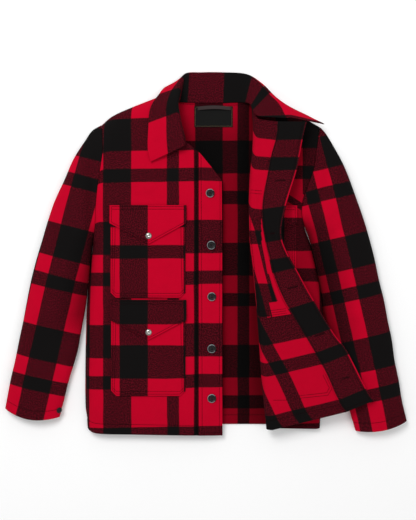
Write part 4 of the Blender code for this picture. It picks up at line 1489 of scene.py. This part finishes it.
# %% Replaced solids, and the cuff button's finish
CLOTHS = [
    # piece, solid, held, rests on
    ("wool_back", "back", "laid", []),
    ("wool_front_right", "front_right", "laid", ["wool_back"]),
    ("wool_placket_right", "placket_right", "laid", ["wool_front_right"]),
    ("wool_front_left", "front_left", "folded", ["wool_back"]),
    ("wool_facing_left", "facing_left", "laid", ["wool_front_left"]),
    ("wool_inner_pocket", "inner_pocket_left", "laid", ["wool_front_left"]),
    ("wool_sleeve_right", "sleeve_right", "laid", ["wool_back"]),
    ("wool_sleeve_left", "sleeve_left", "laid", ["wool_back"]),
    ("wool_collar", "collar", "folded", ["wool_front_right", "wool_back", "wool_front_left"]),
    ("neck_label", "label", "laid", ["wool_back"]),
]
for name in pocket_pieces:
    panel = "wool_front_right" if name.endswith("right") else "wool_front_left"
    under = panel if name.startswith("pocket") else "wool_" + name.replace("flap", "pocket")
    CLOTHS.append(("wool_" + name, name, "laid", [under]))
for piece_name, solid, held, under in CLOTHS:
    shell = cloth_pieces[piece_name]
    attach(shell.piece, "root")
    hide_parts(solid)
    sewn = [thread_pieces[piece_name]] if piece_name in thread_pieces else []
    sewn += [loop] if piece_name == "neck_label" else []
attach(loop, "root")
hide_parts("hanging_loop")
for piece in [*thread_pieces.values(), thread_crosses, hole_threads, slit_shade_piece]:
    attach(piece, "root")
for node, piece in button_pieces.items():
    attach(piece, "root")
    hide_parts(node)
for node, piece in snap_pieces.items():
    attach(piece, "root")
    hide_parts(node)
for slot in bpy.data.objects["cuff_button_right"].material_slots:
    slot.material = plastic_finish

# %% [markdown]
# ## Floor, light and camera
# The picture looks straight down on a white table in soft, even light from above and a little to the left.

# %% The white table
table = bmesh.new()
bmesh.ops.create_grid(table, x_segments=1, y_segments=1, size=6)
bmesh.ops.translate(table, verts=table.verts[:], vec=(0, 0, -0.0006))
table_finish = plain_finish("table_white", (0.93, 0.93, 0.93), (0.95, 0.95, 0.95), 0.9, 3, 0.0)
floor = object_of("white_table", table, table_finish)

# %% Light
world = bpy.data.worlds.new("studio")
bpy.context.scene.world = world
world.use_nodes = True
world.node_tree.nodes["Background"].inputs["Color"].default_value = (1, 1, 1, 1)
world.node_tree.nodes["Background"].inputs["Strength"].default_value = 0.6
LAMPS = [
    # name, place, size, watts
    ("overhead", (-0.8, 1.2, 2.3), 1.1, 40),
    ("fill", (1.3, -0.3, 2.4), 1.8, 10),
]
for name, place, size, watts in LAMPS:
    lamp = bpy.data.lights.new(name, "AREA")
    lamp.energy = watts
    lamp.size = size
    held = bpy.data.objects.new(name, lamp)
    held.location = place
    held.rotation_euler = (Vector((0, 0, 0)) - Vector(place)).to_track_quat("-Z", "Y").to_euler()
    bpy.context.scene.collection.objects.link(held)

# %% Plain colour, so that the dyed reds stay as saturated as they are
bpy.context.scene.view_settings.view_transform = "Standard"

# %% Camera
CAMERA_HEIGHT = 1.93
CAMERA_OVER = (0.0044, -0.0145)
SEEN_HEIGHT = 1.118
lens = bpy.data.cameras.new("overhead_view")
lens.sensor_fit = "VERTICAL"
lens.angle = 2 * atan2(SEEN_HEIGHT / 2, CAMERA_HEIGHT - 0.03)
lens.clip_end = 50
view = bpy.data.objects.new("overhead_view", lens)
view.location = (*CAMERA_OVER, CAMERA_HEIGHT)
bpy.context.scene.collection.objects.link(view)
bpy.context.scene.camera = view
